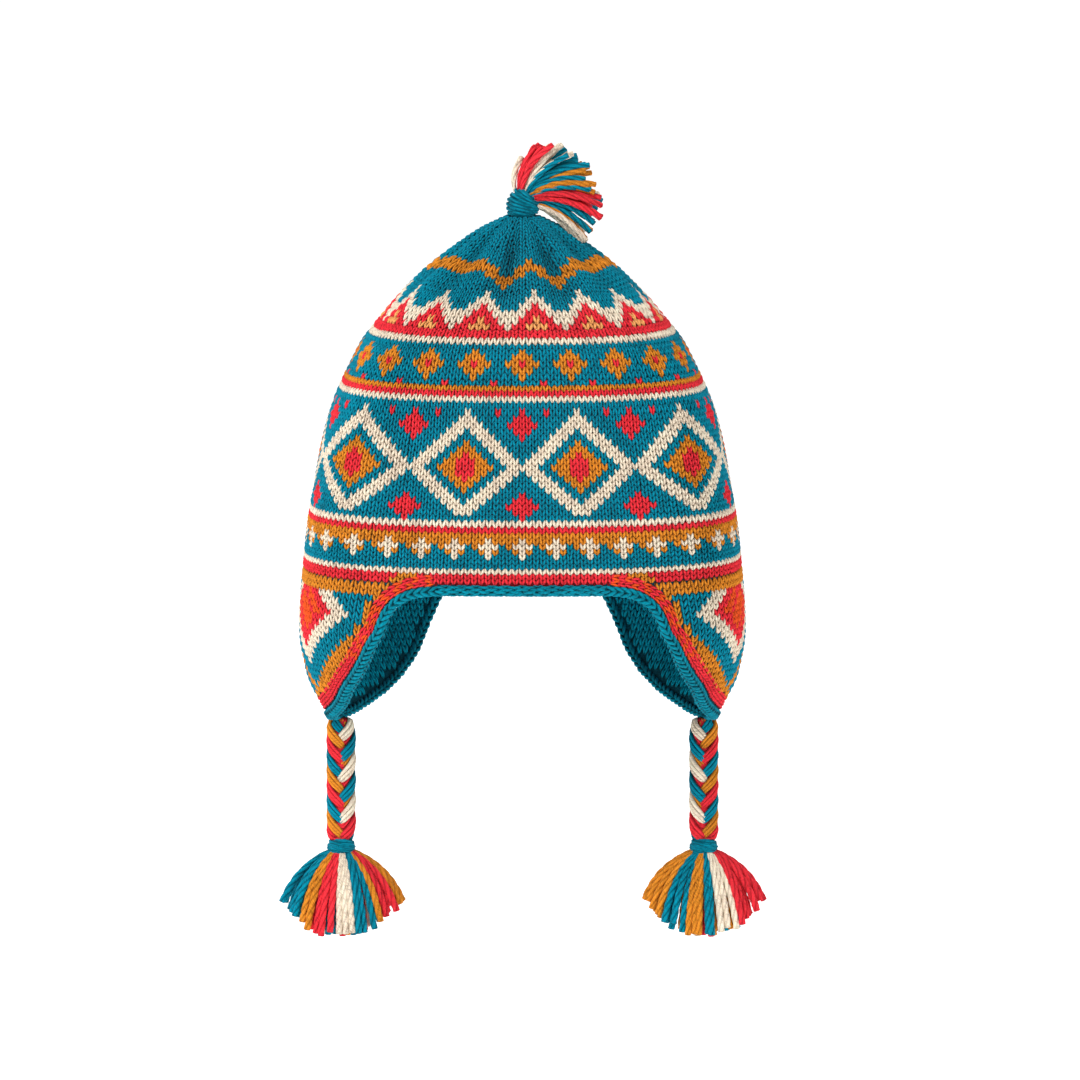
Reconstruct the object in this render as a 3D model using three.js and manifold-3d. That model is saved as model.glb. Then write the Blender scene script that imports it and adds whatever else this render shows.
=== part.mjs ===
// Knitted chullo hat with earflaps, plaited ties and tassels.
// Millimetres, +Z up. The front faces -Y and z = 0 is the lower edge of the front rim.

import * as THREE from 'three';
import { mergeVertices } from 'three/addons/utils/BufferGeometryUtils.js';
import Module from 'manifold-3d';

const wasm = await Module();
wasm.setup();

// Driving sizes of the knitted body
const HALF_WIDTH = 100.8;
const HALF_DEPTH = 88;
const CROWN_HEIGHT = 163.6;
const FLAP_DROP = 66.5;
const KNIT_WALL = 4;
const NECK_RADIUS = 7.5;
const PLEAT_DEPTH = 4.2;

// Driving sizes of the edging, bindings, ties and tassels
const EDGING_WIDTH = 5.4;
const EDGING_THICKNESS = 6;
const TOP_BINDING_RADIUS = 7.6;
const TOP_BINDING_LENGTH = 10.5;
const TOP_BINDING_LEAN = 42;
const TIE_WIDTH = 13.4;
const TIE_THICKNESS = 10.6;
const TIE_LENGTH = 52.2;
const TIE_BINDING_RADIUS = 6.7;
const TIE_BINDING_LENGTH = 7.8;
const LOCK_DIAMETER = 7.4;
const TIE_LOCK_LENGTH = 39;
const TOP_LOCK_LENGTH = 38;
const TASSEL_HEAD_HEIGHT = 3.4;
const SEAT_GAP = 0.3;

// Mesh fineness
const CROWN_COLUMNS = 72;
const HEM_STATIONS = 44;
const FLAP_ROWS = 5;
const FLAP_LEAST_HEIGHT = 0.8;
const EDGING_SIDES = 6;
const TIE_SIDES = 10;
const BINDING_SIDES = 14;
const TIE_LOBES = 8;
const RINGS_PER_LOBE = 4;
const LOCK_SIDES = 5;
const LOCK_STEPS = 3;
const ARC_SAMPLES = 90;

// Crown sections: height is a share of the crown height, width and depth are shares of
// the way from the neck radius to the half width and half depth, square is the exponent
const CROWN_FORM = [
  { height: 0, width: 0.987, depth: 0.99, square: 2.5 },
  { height: 0.156, width: 0.959, depth: 0.965, square: 2.5 },
  { height: 0.267, width: 0.925, depth: 0.938, square: 2.5 },
  { height: 0.378, width: 0.89, depth: 0.903, square: 2.45 },
  { height: 0.488, width: 0.836, depth: 0.863, square: 2.4 },
  { height: 0.599, width: 0.749, depth: 0.786, square: 2.35 },
  { height: 0.655, width: 0.697, depth: 0.739, square: 2.3 },
  { height: 0.71, width: 0.624, depth: 0.67, square: 2.25 },
  { height: 0.765, width: 0.547, depth: 0.594, square: 2.2 },
  { height: 0.82, width: 0.46, depth: 0.504, square: 2.15 },
  { height: 0.876, width: 0.354, depth: 0.392, square: 2.1 },
  { height: 0.931, width: 0.2235, depth: 0.252, square: 2.05 },
  { height: 0.9725, width: 0.108, depth: 0.123, square: 2 },
  { height: 1, width: 0, depth: 0, square: 2 },
];

// Flap sections: drop is a share of the flap drop
const FLAP_FORM = [
  { drop: 0, width: 0.987, depth: 0.99, square: 2.5 },
  { drop: 0.159, width: 0.996, depth: 0.994, square: 2.45 },
  { drop: 0.295, width: 1, depth: 0.99, square: 2.38 },
  { drop: 0.432, width: 0.996, depth: 0.965, square: 2.2 },
  { drop: 0.567, width: 0.9785, depth: 0.925, square: 2 },
  { drop: 0.704, width: 0.954, depth: 0.865, square: 1.85 },
  { drop: 0.839, width: 0.905, depth: 0.79, square: 1.72 },
  { drop: 0.908, width: 0.88, depth: 0.745, square: 1.66 },
  { drop: 1, width: 0.845, depth: 0.69, square: 1.6 },
];

// Hem of one side: across runs from the front centre, 0, over the side, 0.5, to the back
// centre, 1, as a share of the half girth, and drop is a share of the flap drop
const HEM = [
  { across: 0.07, drop: 0 },
  { across: 0.13, drop: 0.006 },
  { across: 0.165, drop: 0.035 },
  { across: 0.19, drop: 0.105 },
  { across: 0.203, drop: 0.19 },
  { across: 0.212, drop: 0.28 },
  { across: 0.231, drop: 0.38 },
  { across: 0.253, drop: 0.49 },
  { across: 0.283, drop: 0.6 },
  { across: 0.325, drop: 0.72 },
  { across: 0.38, drop: 0.85 },
  { across: 0.455, drop: 0.95 },
  { across: 0.545, drop: 1 },
  { across: 0.62, drop: 0.97 },
  { across: 0.68, drop: 0.917 },
  { across: 0.736, drop: 0.847 },
  { across: 0.785, drop: 0.75 },
  { across: 0.822, drop: 0.63 },
  { across: 0.848, drop: 0.49 },
  { across: 0.868, drop: 0.36 },
  { across: 0.884, drop: 0.24 },
  { across: 0.897, drop: 0.14 },
  { across: 0.914, drop: 0.05 },
  { across: 0.94, drop: 0.005 },
  { across: 0.97, drop: 0 },
];

// Valley folds under the peak: angle from the front centre in degrees, towards +X,
// depth as a share of the pleat depth, spread in degrees
const PLEATS = [
  { angle: -44, depth: 0.75, spread: 10 },
  { angle: -11, depth: 1, spread: 9 },
  { angle: 22, depth: 1, spread: 9 },
  { angle: 54, depth: 0.8, spread: 10 },
  { angle: 87, depth: 0.9, spread: 10 },
  { angle: 120, depth: 0.75, spread: 11 },
  { angle: 152, depth: 0.9, spread: 10 },
  { angle: 185, depth: 0.85, spread: 10 },
  { angle: 218, depth: 0.95, spread: 10 },
  { angle: 251, depth: 0.75, spread: 11 },
  { angle: 283, depth: 0.9, spread: 10 },
];

// How far the pleats are open at each share of the crown height
const PLEAT_OPENING = [
  { height: 0.68, open: 0 },
  { height: 0.78, open: 0.35 },
  { height: 0.86, open: 0.9 },
  { height: 0.92, open: 1 },
  { height: 0.97, open: 0.4 },
  { height: 1, open: 0 },
];

// Levels of the crown's rings, as shares of its height
const OUTER_LEVELS = [
  0, 0.1, 0.2, 0.3, 0.4, 0.5, 0.58, 0.65, 0.71, 0.765, 0.81, 0.85, 0.89, 0.925, 0.955, 0.98, 1,
];
const INNER_LEVELS = [0, 0.2, 0.4, 0.55, 0.68, 0.78, 0.86, 0.93, 0.965];

const TEAL = 0x0e8ca5;
const RED = 0xe8323f;
const knitMaterial = new THREE.MeshStandardMaterial({ color: TEAL, roughness: 0.9, metalness: 0 });
const edgingMaterial = new THREE.MeshStandardMaterial({ color: 0x0b7d95, roughness: 0.92, metalness: 0 });
const tasselMaterial = new THREE.MeshStandardMaterial({ color: RED, roughness: 0.88, metalness: 0 });

const radians = THREE.MathUtils.degToRad;
const lerp = THREE.MathUtils.lerp;

// Value of one column at a place between two rows, smooth through the rows
function readTable(rows, key, column, at) {
  let i = 0;
  while (i < rows.length - 2 && rows[i + 1][key] < at) i += 1;
  const span = rows[i + 1][key] - rows[i][key];
  const t = THREE.MathUtils.clamp((at - rows[i][key]) / span, 0, 1);
  const slope = (k) => {
    if (k === 0 || k === rows.length - 1) return null;
    return (rows[k + 1][column] - rows[k - 1][column]) / (rows[k + 1][key] - rows[k - 1][key]);
  };
  const chord = (rows[i + 1][column] - rows[i][column]) / span;
  const m0 = (slope(i) ?? chord) * span;
  const m1 = (slope(i + 1) ?? chord) * span;
  const rise = rows[i + 1][column] - rows[i][column];
  return rows[i][column] + t * (m0 + t * (3 * rise - 2 * m0 - m1 + t * (m0 + m1 - 2 * rise)));
}

// Half width, half depth and exponent of the section at a level
function formAt(z) {
  const rows = z >= 0 ? CROWN_FORM : FLAP_FORM;
  const key = z >= 0 ? 'height' : 'drop';
  const at = z >= 0 ? z / CROWN_HEIGHT : -z / FLAP_DROP;
  return {
    a: NECK_RADIUS + (HALF_WIDTH - NECK_RADIUS) * readTable(rows, key, 'width', at),
    b: NECK_RADIUS + (HALF_DEPTH - NECK_RADIUS) * readTable(rows, key, 'depth', at),
    n: readTable(rows, key, 'square', at),
  };
}

// Quarter of a section, front centre to side, with the arc length at each sample
function quarterArc({ a, b, n }) {
  const samples = [];
  let length = 0;
  for (let i = 0; i <= ARC_SAMPLES; i += 1) {
    const angle = (Math.PI / 2) * (i / ARC_SAMPLES);
    const x = a * Math.sin(angle) ** (2 / n);
    const y = b * Math.max(0, Math.cos(angle)) ** (2 / n);
    if (i > 0) length += Math.hypot(x - samples[i - 1].x, y - samples[i - 1].y);
    samples.push({ x, y, length });
  }
  return samples;
}

const arcCache = new Map();

function arcAt(z) {
  if (!arcCache.has(z)) arcCache.set(z, quarterArc(formAt(z)));
  return arcCache.get(z);
}

const HALF_GIRTH = 2 * arcAt(0)[ARC_SAMPLES].length;

// Point of a smooth section: u is the share of the half girth from the front centre,
// negative towards -X, so -1 and 1 are both the back centre
function sectionPoint(u, z) {
  const samples = arcAt(z);
  const wrapped = Math.abs(u) > 1 ? 2 - Math.abs(u) : Math.abs(u);
  const side = (u < 0) !== (Math.abs(u) > 1) ? -1 : 1;
  const front = wrapped <= 0.5;
  const along = 2 * (front ? wrapped : 1 - wrapped) * samples[ARC_SAMPLES].length;
  let low = 0;
  let high = ARC_SAMPLES;
  while (high - low > 1) {
    const middle = (low + high) >> 1;
    if (samples[middle].length <= along) low = middle;
    else high = middle;
  }
  const t = (along - samples[low].length) / (samples[high].length - samples[low].length);
  const x = lerp(samples[low].x, samples[high].x, t) * side;
  const y = lerp(samples[low].y, samples[high].y, t) * (front ? -1 : 1);
  return new THREE.Vector3(x, y, z);
}

// Outward normal of the smooth form, from small steps along the girth and the height
const GIRTH_STEP = 0.004;
const LEVEL_STEP = 0.6;

function sectionNormal(u, z) {
  const dz = z + LEVEL_STEP > CROWN_HEIGHT ? -LEVEL_STEP : LEVEL_STEP;
  const across = sectionPoint(u + GIRTH_STEP, z).sub(sectionPoint(u - GIRTH_STEP, z));
  const up = sectionPoint(u, z + dz).sub(sectionPoint(u, z)).multiplyScalar(Math.sign(dz));
  return across.cross(up).normalize();
}

// Depth of the valley folds at a point of the smooth form
function pleatAt(point, z) {
  const open = Math.max(0, readTable(PLEAT_OPENING, 'height', 'open', z / CROWN_HEIGHT));
  const angle = THREE.MathUtils.radToDeg(Math.atan2(point.x, -point.y));
  const folds = PLEATS.map((fold) => {
    const away = THREE.MathUtils.euclideanModulo(angle - fold.angle + 180, 360) - 180;
    return fold.depth * Math.exp(-((away / fold.spread) ** 2));
  });
  return PLEAT_DEPTH * open * Math.max(...folds);
}

// Solid skinned through rings of equal count; open lofts get a fan at each end
function loft(rings, closed = false) {
  const count = rings[0].length;
  const positions = rings.flat().flatMap((p) => [p.x, p.y, p.z]);
  const faces = [];
  const spans = closed ? rings.length : rings.length - 1;
  for (let r = 0; r < spans; r += 1) {
    const here = r * count;
    const next = ((r + 1) % rings.length) * count;
    for (let c = 0; c < count; c += 1) {
      const d = (c + 1) % count;
      faces.push(here + c, here + d, next + d, here + c, next + d, next + c);
    }
  }
  if (!closed) {
    [0, rings.length - 1].forEach((r, end) => {
      const centre = new THREE.Vector3();
      rings[r].forEach((p) => centre.addScaledVector(p, 1 / count));
      const hub = positions.length / 3;
      positions.push(centre.x, centre.y, centre.z);
      for (let c = 0; c < count; c += 1) {
        const d = (c + 1) % count;
        if (end === 0) faces.push(hub, r * count + d, r * count + c);
        else faces.push(hub, r * count + c, r * count + d);
      }
    });
  }
  const geometry = new THREE.BufferGeometry();
  geometry.setAttribute('position', new THREE.Float32BufferAttribute(positions, 3));
  geometry.setIndex(faces);
  return facingOut(geometry);
}

// Same solid with its faces turned outward
function facingOut(geometry) {
  const p = geometry.attributes.position;
  const index = geometry.index.array;
  const corner = (k) => new THREE.Vector3().fromBufferAttribute(p, index[k]);
  let volume = 0;
  for (let k = 0; k < index.length; k += 3) {
    volume += corner(k).dot(corner(k + 1).cross(corner(k + 2)));
  }
  if (volume < 0) {
    for (let k = 0; k < index.length; k += 3) {
      [index[k], index[k + 1]] = [index[k + 1], index[k]];
    }
  }
  return geometry;
}

// One solid from several closed ones that overlap
function fuse(geometries) {
  const solids = geometries.map((geometry) => {
    const merged = mergeVertices(geometry, 1e-4);
    const mesh = new wasm.Mesh({
      numProp: 3,
      vertProperties: new Float32Array(merged.attributes.position.array),
      triVerts: new Uint32Array(merged.index.array),
    });
    return new wasm.Manifold(mesh);
  });
  const mesh = solids.reduce((whole, solid) => whole.add(solid)).getMesh();
  const geometry = new THREE.BufferGeometry();
  geometry.setAttribute('position', new THREE.Float32BufferAttribute(mesh.vertProperties, 3));
  geometry.setIndex(Array.from(mesh.triVerts));
  return geometry;
}

// Crown: outer skin with pleats, inner skin one knit wall inside, open below
function makeCrown() {
  const bottom = EDGING_WIDTH + SEAT_GAP;
  const levelZ = (share) => lerp(bottom, CROWN_HEIGHT, share);
  const ring = (share, inset) => {
    const z = levelZ(share);
    return Array.from({ length: CROWN_COLUMNS }, (_, c) => {
      const u = (2 * c) / CROWN_COLUMNS - 1;
      const point = sectionPoint(u, z);
      const normal = sectionNormal(u, z);
      if (share === 0) normal.setZ(0).normalize();
      return point.addScaledVector(normal, -inset - pleatAt(point, z));
    });
  };
  const inner = [...INNER_LEVELS].reverse().map((share) => ring(share, KNIT_WALL));
  const outer = OUTER_LEVELS.map((share) => ring(share, 0));
  return loft([...inner, ...outer]);
}

// Stations of one side's hem: a point of the unrolled girth, x the run from the front
// centre and y the level, and the direction up into the fabric for each millimetre
function hemStations() {
  const points = HEM.map((row) => new THREE.Vector3(row.across * HALF_GIRTH, -row.drop * FLAP_DROP, 0));
  const curve = new THREE.CatmullRomCurve3(points, false, 'centripetal');
  return Array.from({ length: HEM_STATIONS + 1 }, (_, k) => {
    const point = curve.getPointAt(k / HEM_STATIONS);
    const tangent = curve.getTangentAt(k / HEM_STATIONS);
    const shrink = (2 * arcAt(point.y)[ARC_SAMPLES].length) / HALF_GIRTH;
    const size = Math.hypot(tangent.x * shrink, tangent.y);
    const inward = new THREE.Vector2(-tangent.y / (shrink * size), (tangent.x * shrink) / size);
    return { point: new THREE.Vector2(point.x, point.y), inward };
  });
}

function insetPoint(station, distance) {
  return station.point.clone().addScaledVector(station.inward, distance);
}

// Point on the knit at a place of the unrolled girth, sunk below the outer skin
function knitPoint(run, z, side, sunk) {
  const u = (side * run) / HALF_GIRTH;
  const normal = sectionNormal(u, z).setZ(0).normalize();
  return sectionPoint(u, z).addScaledVector(normal, -sunk);
}

// Ear flap: columns run from the edging up to the crown, outer skin then inner skin
function makeFlap(side) {
  const inset = EDGING_WIDTH + SEAT_GAP;
  const top = EDGING_WIDTH;
  const lows = hemStations()
    .map((station) => insetPoint(station, inset))
    .filter((p) => p.y < top - FLAP_LEAST_HEIGHT);
  const start = lows[0].x;
  const end = lows[lows.length - 1].x;
  const rings = lows.map((low, s) => {
    const high = lerp(start, end, s / (lows.length - 1));
    const skin = (sunk) => Array.from({ length: FLAP_ROWS }, (_, r) => {
      const rise = r / (FLAP_ROWS - 1);
      return knitPoint(lerp(low.x, high, rise), lerp(low.y, top, rise), side, sunk);
    });
    return [...skin(0), ...skin(KNIT_WALL).reverse()];
  });
  return loft(rings);
}

// Edging: one closed band round the front rim, both flaps and the nape
function makeEdging() {
  const plain = (run) => ({ point: new THREE.Vector2(run, 0), inward: new THREE.Vector2(0, 1) });
  const hem = hemStations();
  const rings = [];
  const addRing = (station, side) => {
    const rail = (distance, sunk) => {
      const at = insetPoint(station, distance);
      return knitPoint(at.x, at.y, side, sunk);
    };
    const low = rail(0, KNIT_WALL / 2);
    const high = rail(EDGING_WIDTH, KNIT_WALL / 2);
    const centre = low.clone().lerp(high, 0.5);
    const across = high.sub(low).normalize();
    const out = rail(EDGING_WIDTH / 2, 0).sub(rail(EDGING_WIDTH / 2, 1)).normalize();
    rings.push(Array.from({ length: EDGING_SIDES }, (_, k) => {
      const angle = (2 * Math.PI * (k + 0.5)) / EDGING_SIDES;
      const width = (Math.cos(angle) / Math.cos(Math.PI / EDGING_SIDES)) * (EDGING_WIDTH / 2);
      return centre.clone()
        .addScaledVector(across, width)
        .addScaledVector(out, (Math.sin(angle) * EDGING_THICKNESS) / 2);
    }));
  };
  addRing(plain(0), 1);
  hem.forEach((station) => addRing(station, 1));
  addRing(plain(HALF_GIRTH), 1);
  [...hem].reverse().forEach((station) => addRing(station, -1));
  return loft(rings, true);
}

// Ring of a round or oval section about a centre, in the plane of two directions
function ovalRing(centre, right, front, halfRight, halfFront, sides, bulge = () => 1) {
  return Array.from({ length: sides }, (_, k) => {
    const angle = (2 * Math.PI * k) / sides;
    const scale = bulge(angle);
    return centre.clone()
      .addScaledVector(right, halfRight * scale * Math.cos(angle))
      .addScaledVector(front, halfFront * scale * Math.sin(angle));
  });
}

const RIGHT = new THREE.Vector3(1, 0, 0);
const BACK = new THREE.Vector3(0, 1, 0);

// A binding's radius at its two ends, as a share of its radius in the middle
const BINDING_MOUTH = 0.84;
const BINDING_STEPS = 6;

// Wound binding: a barrel whose axis leans over from upright by the lean angle
function makeBinding(base, radius, length, lean) {
  const rings = [];
  const centre = base.clone();
  for (let s = 0; s <= BINDING_STEPS; s += 1) {
    const share = s / BINDING_STEPS;
    const angle = radians(lean) * share * share;
    const up = new THREE.Vector3(Math.sin(angle), 0, Math.cos(angle));
    const right = new THREE.Vector3(Math.cos(angle), 0, -Math.sin(angle));
    if (s > 0) centre.addScaledVector(up, length / BINDING_STEPS);
    const barrel = 1 - (1 - BINDING_MOUTH) * Math.abs(2 * share - 1) ** 3;
    rings.push(ovalRing(centre, right, BACK, radius * barrel, radius * barrel, BINDING_SIDES));
  }
  return loft(rings);
}

// Place and direction of the mouth of the top binding
function topMouth() {
  const step = TOP_BINDING_LENGTH / BINDING_STEPS;
  const centre = new THREE.Vector3(0, 0, CROWN_HEIGHT + SEAT_GAP);
  let angle = 0;
  for (let s = 1; s <= BINDING_STEPS; s += 1) {
    angle = radians(TOP_BINDING_LEAN) * (s / BINDING_STEPS) ** 2;
    centre.addScaledVector(new THREE.Vector3(Math.sin(angle), 0, Math.cos(angle)), step);
  }
  return { centre, angle };
}

// A plait's width in the valleys between its lobes, as a share of its full width
const LOBE_VALLEY = 0.86;
const LOBE_ROUNDNESS = 0.7;

// Plait of a tie: two columns of lobes, one half a lobe lower than the other
function makeBraid(top) {
  const steps = TIE_LOBES * RINGS_PER_LOBE;
  const rings = [];
  for (let s = 0; s <= steps; s += 1) {
    const share = s / steps;
    const centre = top.clone().setZ(top.z - TIE_LENGTH * share);
    const bulge = (angle) => {
      const column = Math.cos(angle) > 0 ? 0.5 : 0;
      const lobe = Math.abs(Math.sin(Math.PI * (TIE_LOBES * share + column)));
      return lerp(LOBE_VALLEY, 1, lobe ** LOBE_ROUNDNESS);
    };
    rings.push(ovalRing(centre, RIGHT, BACK, TIE_WIDTH / 2, TIE_THICKNESS / 2, TIE_SIDES, bulge));
  }
  return loft(rings);
}

// A lock's width at its root, as a share of its width at the cut end
const LOCK_ROOT = 0.5;

// One lock of a tassel along a bent line, thickest at its cut end
function makeLock(from, control, to) {
  const path = new THREE.QuadraticBezierCurve3(from, control, to);
  const rings = [];
  for (let s = 0; s <= LOCK_STEPS; s += 1) {
    const share = s / LOCK_STEPS;
    const along = path.getTangent(share);
    const a = new THREE.Vector3().crossVectors(along, BACK).normalize();
    const b = new THREE.Vector3().crossVectors(along, a).normalize();
    const radius = (LOCK_DIAMETER / 2) * lerp(LOCK_ROOT, 1, Math.sqrt(share));
    rings.push(ovalRing(path.getPoint(share), a, b, radius, radius, LOCK_SIDES));
  }
  return loft(rings);
}

// Sections of a tassel's head, as shares of its height and of the binding's mouth
const HEAD_FORM = [
  { rise: 0, width: 1 },
  { rise: 0.6, width: 0.93 },
  { rise: 1, width: 0.65 },
];
const HEAD_ROOT_RISE = 0.7;

// Short head of a tassel, against the mouth of the binding that holds it
function tasselHead(base, axis, mouth) {
  const right = new THREE.Vector3().crossVectors(BACK, axis).normalize();
  const rings = HEAD_FORM.map((row) => {
    const centre = base.clone().addScaledVector(axis, row.rise * TASSEL_HEAD_HEIGHT);
    return ovalRing(centre, right, BACK, mouth * row.width, mouth * row.width, BINDING_SIDES);
  });
  return loft(rings);
}

// Rows of locks in a hanging tassel: root is the share of the head's radius that they
// start at, reach the share of the lock length that they spread, drop the share they hang
const TIE_LOCKS = [
  { count: 10, root: 0.72, reach: 0.5, drop: 0.79, turn: 0 },
  { count: 6, root: 0.42, reach: 0.26, drop: 0.93, turn: 0.5 },
  { count: 2, root: 0.15, reach: 0.05, drop: 0.97, turn: 0 },
];
const TIE_TASSEL_FLATNESS = 0.76;
const TIE_LOCK_BEND = { reach: 0.66, drop: 0.26 };

function makeTieTassel(base) {
  const mouth = TIE_BINDING_RADIUS * BINDING_MOUTH;
  const solids = [tasselHead(base, new THREE.Vector3(0, 0, -1), mouth)];
  TIE_LOCKS.forEach((row) => {
    for (let k = 0; k < row.count; k += 1) {
      const angle = (2 * Math.PI * (k + row.turn)) / row.count;
      const out = new THREE.Vector3(Math.cos(angle), Math.sin(angle) * TIE_TASSEL_FLATNESS, 0);
      const root = row.root * mouth;
      const reach = root + row.reach * TIE_LOCK_LENGTH;
      const drop = row.drop * TIE_LOCK_LENGTH;
      const place = (outward, down) => {
        const point = base.clone().addScaledVector(out, outward);
        point.z -= down;
        return point;
      };
      const from = place(root, TASSEL_HEAD_HEIGHT * HEAD_ROOT_RISE);
      const bend = place(reach * TIE_LOCK_BEND.reach, drop * TIE_LOCK_BEND.drop);
      solids.push(makeLock(from, bend, place(reach, drop)));
    }
  });
  return fuse(solids);
}

// Locks of the top tassel: aim is the direction to the cut end in degrees above +X, reach a
// share of the lock length, back the share of it that the end lies behind the peak
const TOP_LOCKS = [
  { aim: 66, reach: 0.48, back: 0.12 },
  { aim: 55, reach: 0.62, back: -0.16 },
  { aim: 43, reach: 0.74, back: 0.3 },
  { aim: 32, reach: 0.82, back: -0.05 },
  { aim: 20, reach: 0.9, back: -0.26 },
  { aim: 13, reach: 0.92, back: 0.2 },
  { aim: 3, reach: 0.96, back: -0.08 },
  { aim: -7, reach: 0.96, back: 0.34 },
  { aim: -14, reach: 0.98, back: -0.22 },
  { aim: -24, reach: 0.95, back: 0.06 },
];
const TOP_LOCK_BEND = { turn: 30, back: 0.4, reach: 0.5 };
const TOP_ROOT_SPREAD = 0.55;

function makeTopTassel() {
  const { centre, angle } = topMouth();
  const axis = new THREE.Vector3(Math.sin(angle), 0, Math.cos(angle));
  const slope = new THREE.Vector3(Math.cos(angle), 0, -Math.sin(angle));
  const base = centre.clone().addScaledVector(axis, SEAT_GAP);
  const mouth = TOP_BINDING_RADIUS * BINDING_MOUTH;
  const solids = [tasselHead(base, axis, mouth)];
  TOP_LOCKS.forEach((lock, k) => {
    const place = (2 * k) / (TOP_LOCKS.length - 1) - 1;
    const from = base.clone()
      .addScaledVector(axis, TASSEL_HEAD_HEIGHT * HEAD_ROOT_RISE)
      .addScaledVector(slope, place * mouth * TOP_ROOT_SPREAD)
      .addScaledVector(BACK, lock.back * mouth);
    const reach = lock.reach * TOP_LOCK_LENGTH;
    const toward = (degrees, back, distance) => {
      const turn = radians(degrees);
      const step = new THREE.Vector3(Math.cos(turn), back, Math.sin(turn));
      return from.clone().addScaledVector(step, distance);
    };
    const bend = toward(
      lock.aim + TOP_LOCK_BEND.turn,
      lock.back * TOP_LOCK_BEND.back,
      reach * TOP_LOCK_BEND.reach,
    );
    solids.push(makeLock(from, bend, toward(lock.aim, lock.back, reach)));
  });
  return fuse(solids);
}

// Lowest point of a flap's edging, in the middle of its thickness
function flapTip(side) {
  const lowest = HEM.reduce((low, row) => (row.drop > low.drop ? row : low));
  const z = -lowest.drop * FLAP_DROP;
  const u = side * lowest.across;
  const normal = sectionNormal(u, z).setZ(0).normalize();
  return sectionPoint(u, z).addScaledVector(normal, -KNIT_WALL / 2);
}

const hat = new THREE.Group();

function addPiece(name, geometry, material) {
  const mesh = new THREE.Mesh(geometry, material);
  mesh.name = name;
  hat.add(mesh);
}

addPiece('crown', makeCrown(), knitMaterial);
addPiece('edging', makeEdging(), edgingMaterial);
addPiece(
  'top_binding',
  makeBinding(
    new THREE.Vector3(0, 0, CROWN_HEIGHT + SEAT_GAP),
    TOP_BINDING_RADIUS, TOP_BINDING_LENGTH, TOP_BINDING_LEAN,
  ),
  edgingMaterial,
);
addPiece('top_tassel', makeTopTassel(), tasselMaterial);

[['left', -1], ['right', 1]].forEach(([name, side]) => {
  const braidTop = flapTip(side);
  braidTop.z -= SEAT_GAP;
  const bindingBase = braidTop.clone();
  bindingBase.z -= TIE_LENGTH + SEAT_GAP + TIE_BINDING_LENGTH;
  const tasselBase = bindingBase.clone();
  tasselBase.z -= SEAT_GAP;
  addPiece(`ear_flap_${name}`, makeFlap(side), knitMaterial);
  addPiece(`tie_braid_${name}`, makeBraid(braidTop), tasselMaterial);
  addPiece(
    `tie_binding_${name}`,
    makeBinding(bindingBase, TIE_BINDING_RADIUS, TIE_BINDING_LENGTH, 0),
    edgingMaterial,
  );
  addPiece(`tie_tassel_${name}`, makeTieTassel(tasselBase), tasselMaterial);
});

export default hat;
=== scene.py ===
"""Looks of a knitted chullo hat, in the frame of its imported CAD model. Sizes are in mm."""

import math

import bpy
import numpy as np
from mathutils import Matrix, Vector


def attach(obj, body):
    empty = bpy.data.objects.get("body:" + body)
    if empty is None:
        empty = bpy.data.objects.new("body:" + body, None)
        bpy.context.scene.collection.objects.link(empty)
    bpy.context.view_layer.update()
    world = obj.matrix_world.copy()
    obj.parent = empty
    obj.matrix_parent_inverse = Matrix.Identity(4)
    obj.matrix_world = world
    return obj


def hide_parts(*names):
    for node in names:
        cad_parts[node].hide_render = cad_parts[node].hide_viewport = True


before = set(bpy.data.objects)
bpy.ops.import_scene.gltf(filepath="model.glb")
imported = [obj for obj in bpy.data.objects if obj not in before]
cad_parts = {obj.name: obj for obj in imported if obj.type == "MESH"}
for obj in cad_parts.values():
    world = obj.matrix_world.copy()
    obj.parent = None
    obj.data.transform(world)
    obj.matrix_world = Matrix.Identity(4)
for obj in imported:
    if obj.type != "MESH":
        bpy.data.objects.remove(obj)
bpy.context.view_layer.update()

MM = 0.001
RNG = np.random.default_rng(7)

# Driving sizes of the solids
HALF_WIDTH = 100.8
HALF_DEPTH = 88
CROWN_HEIGHT = 163.6
FLAP_DROP = 66.5
KNIT_WALL = 4
NECK_RADIUS = 7.5
PLEAT_DEPTH = 4.2
EDGING_WIDTH = 5.4
EDGING_THICKNESS = 6
TOP_BINDING_RADIUS = 7.6
TOP_BINDING_LENGTH = 10.5
TOP_BINDING_LEAN = math.radians(42)
TIE_WIDTH = 13.4
TIE_THICKNESS = 10.6
TIE_LENGTH = 52.2
TIE_BINDING_RADIUS = 6.7
TIE_BINDING_LENGTH = 7.8
SEAT_GAP = 0.3
SIDES = (("left", -1), ("right", 1))

# Crown sections: share of the height, width and depth shares, exponent
CROWN_FORM = np.array([
    (0, 0.987, 0.99, 2.5), (0.156, 0.959, 0.965, 2.5), (0.267, 0.925, 0.938, 2.5),
    (0.378, 0.89, 0.903, 2.45), (0.488, 0.836, 0.863, 2.4), (0.599, 0.749, 0.786, 2.35),
    (0.655, 0.697, 0.739, 2.3), (0.71, 0.624, 0.67, 2.25), (0.765, 0.547, 0.594, 2.2),
    (0.82, 0.46, 0.504, 2.15), (0.876, 0.354, 0.392, 2.1), (0.931, 0.2235, 0.252, 2.05),
    (0.9725, 0.108, 0.123, 2), (1, 0, 0, 2),
])
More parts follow.
